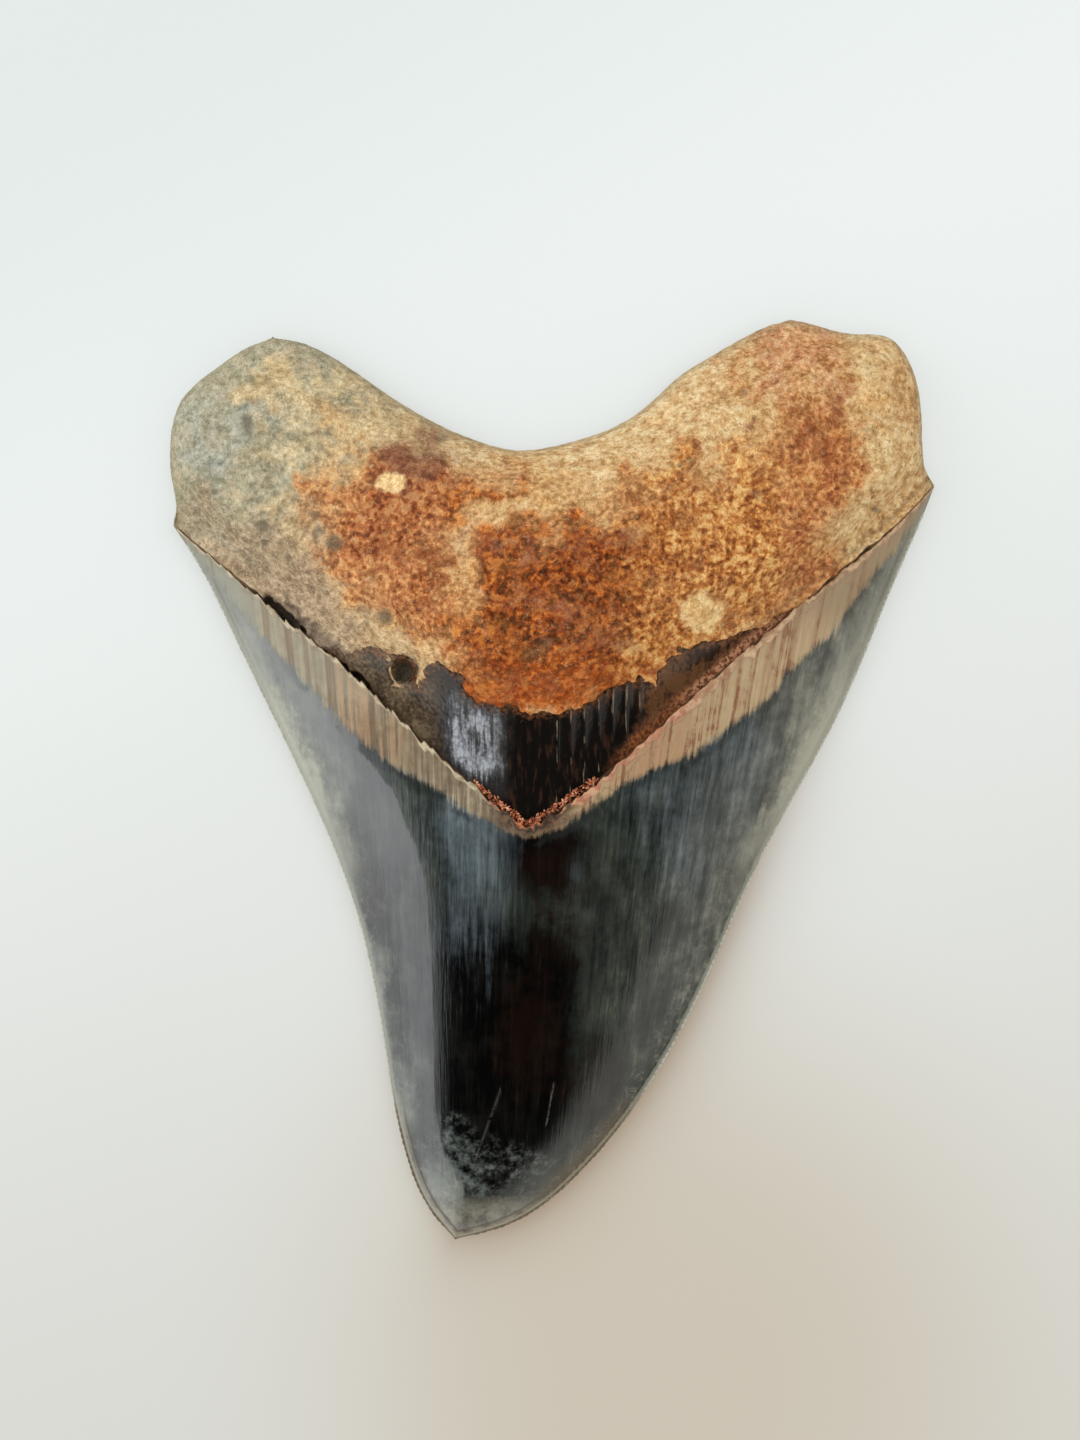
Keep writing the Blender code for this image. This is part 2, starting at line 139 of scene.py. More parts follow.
# %% Nodes
class Nodes:
    """A node tree that new nodes are added to by name."""

    def __init__(self, tree):
        self.tree = tree

    def fill(self, socket, value):
        """Gives a socket a link, or a plain number, colour or name."""
        if isinstance(value, Value):
            self.tree.links.new(value.socket, socket)
        else:
            socket.default_value = value

    def node(self, kind, settings=None, inputs=None, out=0):
        """Adds a node: its settings first, then the values or links of its sockets."""
        made = self.tree.nodes.new(kind)
        for name, setting in (settings or {}).items():
            setattr(made, name, setting)
        for name, value in (inputs or {}).items():
            self.fill(made.inputs[name], value)
        return Value(self, made.outputs[out])

    def sum_of(self, operation, first, second):
        return self.node("ShaderNodeMath", {"operation": operation}, {0: first, 1: second})

    def vector(self, operation, first, second, out=0):
        return self.node("ShaderNodeVectorMath", {"operation": operation}, {0: first, 1: second}, out)

    def mix(self, share, first, second):
        """From the first colour to the second."""
        ends = {0: share, 6: linear(first), 7: linear(second)}
        return self.node("ShaderNodeMix", {"data_type": "RGBA"}, ends, 2)

    def scaled(self, vector, scale):
        """A vector times three numbers."""
        return self.vector("MULTIPLY", vector, scale)

    def moved(self, vector, shift):
        return self.vector("ADD", vector, shift)

    def longer(self, vector, factor):
        """A vector times one number."""
        return self.node("ShaderNodeVectorMath", {"operation": "SCALE"}, {0: vector, "Scale": factor})

    def distance(self, place, other):
        return self.vector("DISTANCE", place, other, 1)

    def part(self, vector, axis):
        """One of a vector's three numbers."""
        return self.node("ShaderNodeSeparateXYZ", inputs={0: vector}, out=axis)

    def noise(self, where, size, detail=2.0, rough=0.5, twist=0.0):
        """Soft noise whose lumps are about this size, from -0.5 to 0.5."""
        return self.node("ShaderNodeTexNoise", {}, {"Vector": where, "Scale": 1.0 / size, "Detail": detail,
                                                    "Roughness": rough, "Distortion": twist}) - 0.5

    def cells(self, where, size, feature="F1"):
        """Distance to the nearest of some scattered points, in cells of about this size."""
        return self.node("ShaderNodeTexVoronoi", {"feature": feature}, {"Vector": where, "Scale": 1.0 / size})

    def attribute(self, name, out="Fac"):
        return self.node("ShaderNodeAttribute", {"attribute_name": name}, out=out)

    def ramp(self, value, stops):
        """Colours along a value that lies around 0: (place, colour) from low to high, with 0 at place 0.5."""
        ramp = self.node("ShaderNodeValToRGB", inputs={"Fac": value + 0.5})
        marks = ramp.socket.node.color_ramp.elements
        while len(marks) < len(stops):
            marks.new(0.5)
        for mark, (place, colour) in zip(marks, stops):
            mark.position = place
            mark.color = linear(colour)
        return ramp


def linear(colour):
    """Three screen values from 0 to 255 as the linear numbers that nodes use. Anything else stays."""
    if isinstance(colour, Value) or len(colour) == 4:
        return colour
    return (*[((c / 255 + 0.055) / 1.055) ** 2.4 if c > 10 else c / 3294.6 for c in colour], 1.0)


print("node helpers ready")

# %% The room's glow
CEILING_EDGE = 0.38  # mirrored rays that rise more steeply than this meet the dark ceiling
world = bpy.data.worlds.new("room")
world.use_nodes = True
bpy.context.scene.world = world
room = Nodes(world.node_tree)
sky = room.node("ShaderNodeTexCoord", out="Generated")
sky_x, sky_y, sky_z = [room.part(sky, axis) for axis in range(3)]
window_side = (sky_y * 0.4 - sky_x * 0.9).step(-0.7, 0.7)
walls = room.mix(window_side, (0.95, 0.92, 0.86, 1.0), (1.55, 1.60, 1.62, 1.0))
mirrored = room.mix(sky_z.step(CEILING_EDGE - 0.05, CEILING_EDGE + 0.05), walls, (0.012, 0.012, 0.012, 1.0))
even_glow = room.mix(window_side, (1.06, 0.98, 0.88, 1.0), (0.98, 1.02, 1.04, 1.0))
glow = room.mix(room.node("ShaderNodeLightPath", out="Is Glossy Ray"), even_glow, mirrored)
room.fill(room.tree.nodes["Background"].inputs["Color"], glow)
print("room glow: bright walls, dark ceiling")

# %% [markdown]
# ## Curves of the tooth
#
# The outline and the V where the enamel starts are smooth curves through a few measured points, in
# millimetres, as in the solid. `patch` stretches a grid of points between four such curves. It is a Coons
# patch: opposite sides are blended, and the corners are taken away once because both blends count them.

# %% Curves
def smoothstep(low, high, value):
    share = np.clip((value - low) / (high - low), 0.0, 1.0)
    return share * share * (3.0 - 2.0 * share)


def lookup(table, value):
    """A smooth reading of a short table of (place, number)."""
    places, numbers = np.array(table, float).T
    slopes = np.gradient(numbers, places)
    value = np.clip(value, places[0], places[-1])
    low = np.clip(np.searchsorted(places, value, side="right") - 1, 0, len(places) - 2)
    step = places[low + 1] - places[low]
    t = (value - places[low]) / step
    return ((2 * t**3 - 3 * t**2 + 1) * numbers[low] + (t**3 - 2 * t**2 + t) * step * slopes[low]
            + (3 * t**2 - 2 * t**3) * numbers[low + 1] + (t**3 - t**2) * step * slopes[low + 1])


def spline(points, shares, first=None, last=None):
    """A natural cubic spline through the points, read at shares of its length, or of a stretch of it."""
    points = np.array(points, float)
    knots = np.append(0.0, np.cumsum(np.linalg.norm(np.diff(points, axis=0), axis=1)))
    gap = np.diff(knots)
    size = len(points)
    matrix = np.eye(size)
    right = np.zeros((size, 2))
    for i in range(1, size - 1):
        matrix[i, i - 1:i + 2] = gap[i - 1], 2 * (gap[i - 1] + gap[i]), gap[i]
        right[i] = 6 * ((points[i + 1] - points[i]) / gap[i] - (points[i] - points[i - 1]) / gap[i - 1])
    bend = np.linalg.solve(matrix, right)
    fine = np.linspace(0.0, knots[-1], 800)
    low = np.clip(np.searchsorted(knots, fine, side="right") - 1, 0, size - 2)
    a = (knots[low + 1] - fine)[:, None]
    b = (fine - knots[low])[:, None]
    h = gap[low][:, None]
    curve = ((bend[low] * a**3 + bend[low + 1] * b**3) / (6 * h)
             + (points[low] / h - bend[low] * h / 6) * a + (points[low + 1] / h - bend[low + 1] * h / 6) * b)
    run = np.append(0.0, np.cumsum(np.linalg.norm(np.diff(curve, axis=0), axis=1)))
    start = 0.0 if first is None else np.interp(knots[first], fine, run)
    end = run[-1] if last is None else np.interp(knots[last], fine, run)
    wanted = start + np.asarray(shares, float) * (end - start)
    return np.stack([np.interp(wanted, run, curve[:, axis]) for axis in range(2)], axis=-1)


def spread(count, at_start, at_end):
    """Shares from 0 to 1 whose steps are finer near the start and the end, by those ratios."""
    middle = (np.arange(count) + 0.5) / count
    steps = np.minimum(1.0, np.minimum(at_start + 7 * (1 - at_start) * middle,
                                       at_end + 7 * (1 - at_end) * (1 - middle)))
    shares = np.append(0.0, np.cumsum(steps))
    return shares / shares[-1]


# %% Distances and patches
def distance_to(line, points):
    """How far each point is from a line of points."""
    nearest = np.full(points.shape[:-1], np.inf)
    for start, end in zip(line[:-1], line[1:]):
        along = end - start
        t = np.clip(((points - start) @ along) / (along @ along), 0.0, 1.0)
        gap = np.linalg.norm(points - (start + t[..., None] * along), axis=-1)
        nearest = np.minimum(nearest, gap)
    return nearest


def above(line, points):
    """Distance from a line that runs from left to right, counted negative below it."""
    line = np.array(line, float)
    side = np.sign(points[..., 1] - np.interp(points[..., 0], line[:, 0], line[:, 1]))
    return distance_to(line, points) * side


def patch(top, bottom, left, right, across, down):
    """A Coons patch: a grid of points between four curves that share their corners."""
    u = across[None, :, None]
    v = down[:, None, None]
    sheet = (1 - v) * top[None] + v * bottom[None] + (1 - u) * left[:, None] + u * right[:, None]
    corners = ((1 - u) * (1 - v) * top[0] + u * (1 - v) * top[-1]
               + (1 - u) * v * bottom[0] + u * v * bottom[-1])
    return sheet - corners


print("curve helpers ready")

# %% Measured curves, in millimetres
NOTCH = (-4.4, 45.8)
LEFT_CREST = (-38.9, 61.5)
RIGHT_CREST = (33.2, 63.99)
LEFT_SHOULDER = (-53.0, 35.6)
RIGHT_SHOULDER = (53.6, 41.1)
TIP = (-13.6, -64.9)
V_POINT = (-3.3, -6.1)

ROOT_EDGE = [
    LEFT_SHOULDER, (-52.6, 37.9), (-53.1, 42.5), (-53.2, 46.4), (-51.7, 52.7), (-46.9, 57.3), LEFT_CREST,
    (-29.3, 58.3), (-23.8, 54.5), (-18.3, 51), (-10, 47.1), NOTCH, (1.2, 46.6), (12.3, 51.4), (17.4, 56),
    (23.4, 59.8), (28.4, 62.6), RIGHT_CREST, (41.5, 62.2), (46.9, 61.6), (49.1, 59.4), (50.7, 55.9),
    (51.7, 47.3), (52, 44.4), RIGHT_SHOULDER]
ENAMEL_LEFT = [LEFT_SHOULDER, (-40.3, 25.2), (-28.9, 16), (-17.8, 5.9), (-8.3, -2.2), V_POINT]
ENAMEL_RIGHT = [V_POINT, (2.4, -2.6), (13.2, 6.3), (24.2, 16), (36.9, 26.3), (48.6, 36), RIGHT_SHOULDER]
BLADE_LEFT = [
    LEFT_SHOULDER, (-48.4, 28.1), (-45.7, 22.5), (-35.9, 2.1), (-27.3, -19.2), (-23.6, -36.8),
    (-20.3, -53.5), (-17, -60.9), TIP]
BLADE_RIGHT = [
    RIGHT_SHOULDER, (52.5, 38.1), (49.8, 31.7), (46.6, 24), (40.3, 9.1), (30.1, -9.9), (19.2, -33.6),
    (4.3, -55.1), (-5.5, -62.6), TIP]
# The bone's lower edge, where it stops on the bourlette. Past its ends it runs under the enamel.
NECK = [
    (-56, 33), (-40.3, 24), (-36.5, 20.6), (-34.6, 19.4), (-31.7, 18.2), (-28.2, 17.6), (-25.3, 17.6),
    (-22.4, 17.1), (-20.2, 15.9), (-18.8, 12.4), (-17.7, 12.1), (-15.9, 15.3), (-14.2, 15.2), (-12.8, 13.9),
    (-11.9, 11.7), (-10.2, 10.3), (-8.2, 9.9), (-5.8, 9.4), (-3.6, 8.9), (-0.9, 8.9), (1, 9.3), (3.7, 9.4),
    (6.3, 10.8), (7.9, 12.1), (10.1, 12.9), (12.4, 13), (14.2, 12.4), (14.7, 14.8), (16, 16.4),
    (18.5, 17.5), (21.6, 18.5), (24.8, 19.2), (27.2, 20.3), (29.5, 21.7), (32.6, 23.2), (37, 25.6),
    (58, 42.6)]
# The lower edge of the tan band that runs along the top of the enamel.
BAND = [
    (-56, 36.8), (-50, 31.8), (-46.7, 28.3), (-44.2, 24.9), (-41.6, 21.7), (-38.5, 18.5), (-36.1, 16),
    (-33.5, 13.1), (-31.9, 11.2), (-29.5, 9), (-28, 7.3), (-26.4, 5.8), (-22.7, 3.3), (-18.9, 1.2),
    (-15.1, -1.3), (-12.1, -3.2), (-9.7, -4.6), (-7, -6), (-4, -7.4), (-0.9, -6.8), (1.3, -5.7),
    (4.2, -3.9), (7.4, -1.9), (11.8, 0.9), (14.9, 2.2), (18.7, 3.6), (20.6, 4.9), (24.3, 7.4), (28.1, 10.2),
    (30.6, 12.3), (32, 14), (34.6, 16.9), (36.6, 18.7), (38.6, 20.7), (40.2, 22.5), (41.8, 24.5),
    (43.9, 27), (46, 29.8), (48, 32.4), (49.8, 34.9), (52, 38.6), (56, 44.5)]
# The edge between the grey left flank of the crown and its dark core, read as x along y. The flank's grey
# is partly a painted reflection.
FLANK = [
    (-26, 4), (-24.3, 2.2), (-21.1, -2.2), (-18.2, -9.3), (-16.9, -15.1), (-16.3, -23.2), (-16.2, -35.8),
    (-16.1, -46.2), (-14.8, -51.4), (-12.5, -56.4)]
OUTER_ENAMEL_RISE = 17.0  # on the outer face the enamel reaches this much further up than the V's point


# %% Edges read from the curves
def enamel_edge(shares):
    """The V where the enamel starts on the inner face: two splines that meet in a corner at its middle."""
    left = spline(ENAMEL_LEFT, np.clip(shares * 2, 0, 1))
    right = spline(ENAMEL_RIGHT, np.clip(shares * 2 - 1, 0, 1))
    return np.where((shares <= 0.5)[:, None], left, right)


def root_patch(lower_edge, across, down):
    """A patch from the root's base to a lower edge, between the outer sides of its two lobes."""
    left, right = ROOT_EDGE.index(LEFT_CREST), ROOT_EDGE.index(RIGHT_CREST)
    return patch(spline(ROOT_EDGE, across, left, right), lower_edge, spline(ROOT_EDGE, 1 - down, 0, left),
                 spline(ROOT_EDGE, down, right, len(ROOT_EDGE) - 1), across, down)


def outline(steps=90):
    """The closed line round the tooth, seen from above."""
    shares = np.linspace(0, 1, steps)
    sides = [spline(ROOT_EDGE, np.linspace(0, 1, steps * 3)), spline(BLADE_RIGHT, shares),
             spline(BLADE_LEFT, shares)[::-1]]
    return np.concatenate([side[:-1] for side in sides] + [sides[0][:1]])


def outer_line(across):
    """Where the enamel ends on the outer face: a shallow arch between the shoulders."""
    x = LEFT_SHOULDER[0] + (RIGHT_SHOULDER[0] - LEFT_SHOULDER[0]) * across
    shoulders = LEFT_SHOULDER[1] + (RIGHT_SHOULDER[1] - LEFT_SHOULDER[1]) * across
    middle = V_POINT[1] + OUTER_ENAMEL_RISE
    return np.stack([x, middle + (shoulders - middle) * np.abs(2 * across - 1) ** 1.5], axis=-1)


def from_rim(points):
    """Distance from the tooth's outline."""
    return distance_to(outline(), points)


print("outline, mm:", np.ptp(outline(), axis=0).round(1))

# %% [markdown]
# ## The paper
#
# The sheet is plain, but its tint holds painted light: a little cooler towards the window, a little warmer
# and darker towards the viewer, darker still below the tip, and toned down in the corner the lamp
# brightens. It glows faintly, a painted glow that keeps the shadows soft. Its grid is fine near the tooth,
# where it keeps two numbers, a broad and a thin painted shadow: how much the brown tooth darkens and warms
# the paper close to it.

# %% Paper
PAPER_GLOW = 0.83  # the share of the paper's brightness that shadows don't reach
PAPER_DARK = 0.87  # how much darker than its tint the paper takes the lamp's light
PAPER_SUNK = 0.05  # the sheet lies this far below the tooth, so that the two faces don't flicker
PAINTED_SHADOW_REACH = 4.0  # the painted shadow beside the tooth fades to a third over this many millimetres
lines = np.concatenate([[-1600.0, -500.0, -200.0], np.arange(-90.0, 90.5, 1.0), [200.0, 500.0, 1600.0]])
side = len(lines)
paper_points = np.dstack([*np.meshgrid(lines, lines), np.zeros((side, side))])
paper_gap = from_rim(paper_points[..., :2] - ORIGIN)
paper_mesh = bpy.data.meshes.new("paper")
paper_mesh.from_pydata((paper_points.reshape(-1, 3) * MM).tolist(), [],
                       [(a, a + 1, a + side + 1, a + side)
                        for i in range(side - 1) for a in range(i * side, (i + 1) * side - 1)])
for label, reach in (("painted_contact_shadow", PAINTED_SHADOW_REACH), ("thin_painted_contact_shadow", 1.0)):
    layer = paper_mesh.attributes.new(label, "FLOAT", "POINT")
    layer.data.foreach_set("value", np.exp(-paper_gap / reach).ravel())
paper = show("paper", paper_mesh)
paper.location.z = -PAPER_SUNK * MM

# %% Paper's colours
paper_material = bpy.data.materials.new("paper")
paper_material.use_nodes = True
sheet = Nodes(paper_material.node_tree)
paper_shader = paper_material.node_tree.nodes["Principled BSDF"]
place = sheet.node("ShaderNodeTexCoord", out="Object")
along_x, along_y = sheet.part(place, 0), sheet.part(place, 1)
# The tint holds painted light: cooler and brighter at the far side, warmer and darker towards the viewer.
near = (along_x * 0.25 - along_y).step(-0.08, 0.135)
tint = sheet.mix(near, (238, 244, 243), (213, 211, 203))
# Painted shade: a darker, warmer pool below the tip.
below_tip = sheet.distance(place, (0.015, -0.082, 0.0))
tint.lay(below_tip.step(0.075, 0.012) * 0.8, (201, 190, 171))
tint.lay(along_x.step(0.0, -0.06) * near * 0.5, (216, 218, 214))
# Painted shade: the corner that the lamp brightens is toned down.
corner = (along_y - along_x * 0.6).step(0.05, 0.15)
tint.lay(corner * 0.5, (216, 224, 222))
# Painted shadow on the paper beside the tooth: broad towards the lower right, thin all round.
lower_right = (along_x * 0.81 - along_y * 0.587).step(0.016, 0.034) * along_y.step(0.014, -0.020)
tint.lay(sheet.attribute("painted_contact_shadow") * (lower_right * 0.62 + 0.04), (150, 118, 80))
tint.lay(sheet.attribute("thin_painted_contact_shadow") * 0.25, (150, 130, 100))
fibres = sheet.noise(place, 0.0012, 4.0, 0.6)
tint.lay((fibres + 0.5) * 0.05, (205, 200, 190))
# The emission is a painted glow: the paper lights itself, and this softens every shadow on it.
for socket, value in (("Emission Color", tint), ("Emission Strength", PAPER_GLOW), ("Roughness", 0.9),
                      ("Base Color", sheet.mix(PAPER_DARK, tint, (0.0, 0.0, 0.0, 1.0)))):
    sheet.fill(paper_shader.inputs[socket], value)
paper_mesh.materials.append(paper_material)
print("paper, m:", tuple(round(side, 1) for side in paper.dimensions[:2]))

# %% [markdown]
# ## The form
#
# The heights follow the same few sizes as the solid: a crown that arches between two thin blades, a
# V-shaped bar of root that is thickest above the point of the V, and a concave neck between them.

# %% Heights
CROWN_RIDGE = [
    (-64.9, 3.2), (-60, 5.2), (-52, 8.2), (-38, 12), (-22, 15.4), (-6, 18.4), (12, 20.6), (41, 22.5)]
BLADE_HEIGHT = [(-64.9, 2.4), (-50, 2.8), (-20, 3), (20, 3.6), (41, 4.8)]
RIDGE_X = [(-64.9, -13.6), (-50, -9.5), (-30, -5), (-6, -3.3), (41, -2)]
ROOT_CREST = [
    (0, 11.5), (0.09, 14), (0.22, 18), (0.36, 23.2), (0.5, 27.5), (0.63, 24.5), (0.78, 19.5), (0.9, 16.5),
    (1, 13.5)]
NECK_WIDTH = [(0, 5), (0.2, 8), (0.38, 13), (0.5, 18), (0.62, 14), (0.8, 8), (1, 5)]
ENAMEL_STEP = 0.6  # how far the neck lies below the enamel's surface
RIM_LIFT = 6.8  # the root's widest line stands this high
RIM_ROUND = 8.5  # the upper face falls to it over this width
UNDER_ROUND = 4.5  # and the outer face rises to it over this one
BLADE_BEVEL = 14.0  # the outer face rises to the thin blade over this width
LUMP_HIGH = 0.45  # the root's low uneven bumps
GROOVE_DEEP = 0.5  # where the outer face's enamel ends
HOLLOW_DEEP = 0.9  # in the middle of the root's outer face
# Low bumps and dents of the root: x, y, reach and height.
ROOT_FEATURES = [
    (19.6, 22.7, 3, 0.8), (41.2, 48.3, 3.6, 0.7), (36.5, 52.5, 3.2, 0.5), (-15.6, 26.5, 1.6, -0.7),
    (-15.6, 31, 1.5, -0.5), (-30, 44, 6, -0.6), (46.5, 59.5, 3, 0.7)]


# %% Crown and lumps
def blade_x(curve, y):
    """Where a cutting edge is, at a height along the tooth."""
    points = spline(curve, np.linspace(0, 1, 200))
    return np.interp(y, points[::-1, 1], points[::-1, 0])


def crown_top(x, y):
    """The arched inner face of the crown, carried on under the root."""
    ridge = lookup(RIDGE_X, y)
    half = np.where(x < ridge, ridge - blade_x(BLADE_LEFT, y), blade_x(BLADE_RIGHT, y) - ridge)
    across = np.clip(np.abs(x - ridge) / np.maximum(half, 0.3), 0.0, 1.0)
    low = lookup(BLADE_HEIGHT, y)
    return low + (lookup(CROWN_RIDGE, y) - low) * (1 - across**1.9)


def lumps(points, size, seed):
    """Smooth bumps from -1 to 1."""
    flat = points.reshape(-1, 2)
    read = [noise.noise(Vector((px / size, py / size, seed))) for px, py in flat]
    return np.array(read).reshape(points.shape[:-1])


def from_v(points):
    """Distance from the V where the enamel starts, with the crease above its point rounded off."""
    shares = np.linspace(0, 1, 81)
    left = distance_to(spline(ENAMEL_LEFT, shares), points)
    right = distance_to(spline(ENAMEL_RIGHT, shares), points)
    nearest = np.minimum(left, right)
    blend = np.maximum(0.9 * nearest, 1e-6)
    share = np.clip(1 - np.abs(left - right) / blend, 0.0, 1.0)
    return nearest - share**2 * blend / 4


def rounded(distance, width):
    """A quarter-round rise from 0 at the outline to 1 a width in from it."""
    share = np.clip(distance / width, 0.0, 1.0)
    return np.sqrt(1 - (1 - share) ** 2)


# %% Root faces
NERVE_HOLE = (-19.9, 14.9)  # where the nerve came out beside the neck
HOLE_WIDE = 1.35
HOLE_DEEP = 2.1


def hole_distance(points):
    return np.hypot(points[..., 0] - NERVE_HOLE[0], points[..., 1] - NERVE_HOLE[1])


def neck_surface(points, across, down, v_distance):
    """The root's inner face without its crust: a bar that falls to the neck and to the rim."""
    crest = lookup(ROOT_CREST, across)
    back = 0.8 + 0.2 * smoothstep(0.0, 0.5, down)
    rise = smoothstep(0.22, 1.15, v_distance / lookup(NECK_WIDTH, across))
    body = crest * back + LUMP_HIGH * (lumps(points, 13.0, 1.7) + 0.6 * lumps(points, 6.0, 4.2))
    low = crown_top(points[..., 0], points[..., 1]) - ENAMEL_STEP
    surface = low + (body - low) * rise
    for x, y, reach, high in ROOT_FEATURES:
        gap = np.hypot(points[..., 0] - x, points[..., 1] - y)
        surface = surface + high * np.exp(-((gap / reach) ** 2) * 2)
    return surface - HOLE_DEEP * np.exp(-((hole_distance(points) / HOLE_WIDE) ** 4))


def edge_level(points, v_distance):
    """How high the outline stands: the thick root's widest line, or the thin blade."""
    on_root = smoothstep(-1.0, 6.0, v_distance)
    return lookup(BLADE_HEIGHT, points[..., 1]) * (1 - on_root) + RIM_LIFT * on_root, on_root


def under_side(points, v_distance, rim):
    """The outer face: flat in the middle, rounded up to the outline, with a groove where its enamel ends."""
    level, on_root = edge_level(points, v_distance)
    bevel = np.clip(1 - rim / BLADE_BEVEL, 0.0, 1.0) ** 2
    height = level * ((1 - rounded(rim, UNDER_ROUND)) * on_root + bevel * (1 - on_root))
    x, y = points[..., 0], points[..., 1]
    line = outer_line(np.linspace(0, 1, 80))
    inside = smoothstep(4.0, 9.0, 53.0 - np.abs(x))
    groove = GROOVE_DEEP * np.clip(1 - np.abs(above(line, points)) / 2.2, 0.0, 1.0) * inside
    hollow = HOLLOW_DEEP * np.clip(1 - ((x + 3.0) / 17.0) ** 2 - ((y - 34.0) / 7.0) ** 2, 0.0, 1.0)
    return height + groove + hollow


print("crown at the V, mm:", round(float(crown_top(np.array(V_POINT[0]), np.array(V_POINT[1]))), 1))

# %% [markdown]
# ## One closed shell from two sheets
#
# Root, bourlette and crown are each made from an upper and a lower grid of points. The grids share their
# side columns, and the open ends are joined by strips that stay hidden inside a neighbour. Numbers that the
# materials need are stored on the vertices as attributes, so that a stain sits where it belongs however the
# surface is bent.

# %% Shell maker
def grid_faces(rows, columns, start):
    return [(a, a + columns, a + columns + 1, a + 1)
            for i in range(rows - 1) for a in range(start + i * columns, start + (i + 1) * columns - 1)]


def closed_shell(name, upper, lower, facts, open_sides):
    """A closed mesh from two grids of points. open_sides names the borders that the grids don't share."""
    rows, columns = upper.shape[:2]
    size = rows * columns
    points = np.concatenate([upper.reshape(-1, 3), lower.reshape(-1, 3)]) + (*ORIGIN, 0.0)
    faces = grid_faces(rows, columns, 0) + [face[::-1] for face in grid_faces(rows, columns, size)]
    index = np.arange(size).reshape(rows, columns)
    borders = {"first_row": index[0], "last_row": index[-1], "left": index[:, 0], "right": index[:, -1]}
    for side in open_sides:
        border = borders[side]
        faces += [(a, b, b + size, a + size) for a, b in zip(border[:-1].tolist(), border[1:].tolist())]
    mesh = bpy.data.meshes.new(name)
    mesh.from_pydata((points * MM).tolist(), [], faces)
    for label, pair in facts.items():
        wide = pair[0].ndim == 3
        layer = mesh.attributes.new(label, "FLOAT_VECTOR" if wide else "FLOAT", "POINT")
        both = np.concatenate([np.asarray(sheet, np.float32).reshape(size, -1) for sheet in pair])
        layer.data.foreach_set("vector" if wide else "value", both.ravel())
    shell = bmesh.new()
    shell.from_mesh(mesh)
    bmesh.ops.remove_doubles(shell, verts=shell.verts[:], dist=1e-6)
    bmesh.ops.dissolve_degenerate(shell, edges=shell.edges[:], dist=1e-7)
    bmesh.ops.recalc_face_normals(shell, faces=shell.faces[:])
    if shell.calc_volume(signed=True) < 0:
        bmesh.ops.reverse_faces(shell, faces=shell.faces[:])
    loose = sum(len(edge.link_faces) != 2 for edge in shell.edges)
    volume = shell.calc_volume() * 1e6
    shell.to_mesh(mesh)
    shell.free()
    mesh.shade_smooth()
    print(f"{name}: {len(mesh.polygons)} faces, {volume:.1f} cubic cm, {loose} edges without two faces")
    return show(name, mesh)


# %% Soft ovals
def soft_spots(points, spots):
    """Strength from 0 to 1 of overlapping soft ovals: (x, y, half width, half height, strength)."""
    clear = np.ones(points.shape[:-1])
    for x, y, wide, tall, strength in spots:
        gap = ((points[..., 0] - x) / wide) ** 2 + ((points[..., 1] - y) / tall) ** 2
        clear *= 1 - strength * np.exp(-0.7 * gap)
    return 1 - clear


def read_on(sheets, tables):
    """Each table of ovals read on the upper and the lower grid."""
    return {name: [soft_spots(points, ovals) for points in sheets] for name, ovals in tables.items()}


def seen_on(plane, sheet):
    """Where the camera's sight lines to these points cross a level plane, which the stains are listed on."""
    reach = (CAMERA_HIGH - plane) / (CAMERA_HIGH - sheet[..., 2:])
    return VIEW_CENTRE + (sheet[..., :2] - VIEW_CENTRE) * reach


def uneven(points, wide, fine):
    """The points moved a little, back and forth, so that round spots get irregular borders."""
    moves = [wide * lumps(points, 6.0, seed) + fine * lumps(points, 2.0, seed + 0.5) for seed in (20.2, 31.7)]
    return points + np.stack(moves, axis=-1)


# %% [markdown]
# ## Trees that shape a mesh
#
# Geometry Nodes add what repeats: pores in the bone, ribs on the bourlette, teeth on the cutting edge,
# crumbs along the enamel. Each tree has its sizes as named inputs. `grow` runs a tree on a piece and keeps
# the plain mesh that comes out, so that no modifier is left.

# %% Geometry tree helpers
def geometry_tree(name, sizes):
    """A tree with a mesh input and named sizes. Gives its nodes, the mesh and the sizes as values."""
    tree = bpy.data.node_groups.new(name, "GeometryNodeTree")
    tree.interface.new_socket("Mesh", in_out="INPUT", socket_type="NodeSocketGeometry")
    for label, size in sizes.items():
        tree.interface.new_socket(label, in_out="INPUT", socket_type="NodeSocketFloat").default_value = size
    tree.interface.new_socket("Mesh", in_out="OUTPUT", socket_type="NodeSocketGeometry")
    entry = tree.nodes.new("NodeGroupInput")
    nodes = Nodes(tree)
    given = {label: Value(nodes, entry.outputs[label]) for label in sizes}
    return nodes, Value(nodes, entry.outputs[0]), given


def finish_tree(nodes, mesh, material):
    """Ends a tree: instances become real, and the mesh gets its material."""
    real = nodes.node("GeometryNodeRealizeInstances", inputs={0: mesh})
    done = nodes.node("GeometryNodeSetMaterial", inputs={"Geometry": real, "Material": material})
    nodes.fill(nodes.tree.nodes.new("NodeGroupOutput").inputs[0], done)
    return nodes.tree


def named(nodes, attribute):
    return nodes.node("GeometryNodeInputNamedAttribute", {"data_type": "FLOAT"}, {"Name": attribute})


def pushed_out(nodes, mesh, height):
    """The mesh with every point moved along its normal."""
    normal = nodes.node("GeometryNodeInputNormal")
    offset = nodes.longer(normal, height)
    return nodes.node("GeometryNodeSetPosition", inputs={"Geometry": mesh, "Offset": offset})


# %% What the trees share
PER_METRE = (1000.0, 1000.0, 1000.0)  # millimetres


def in_millimetres(nodes):
    return nodes.scaled(nodes.node("GeometryNodeInputPosition"), PER_METRE)


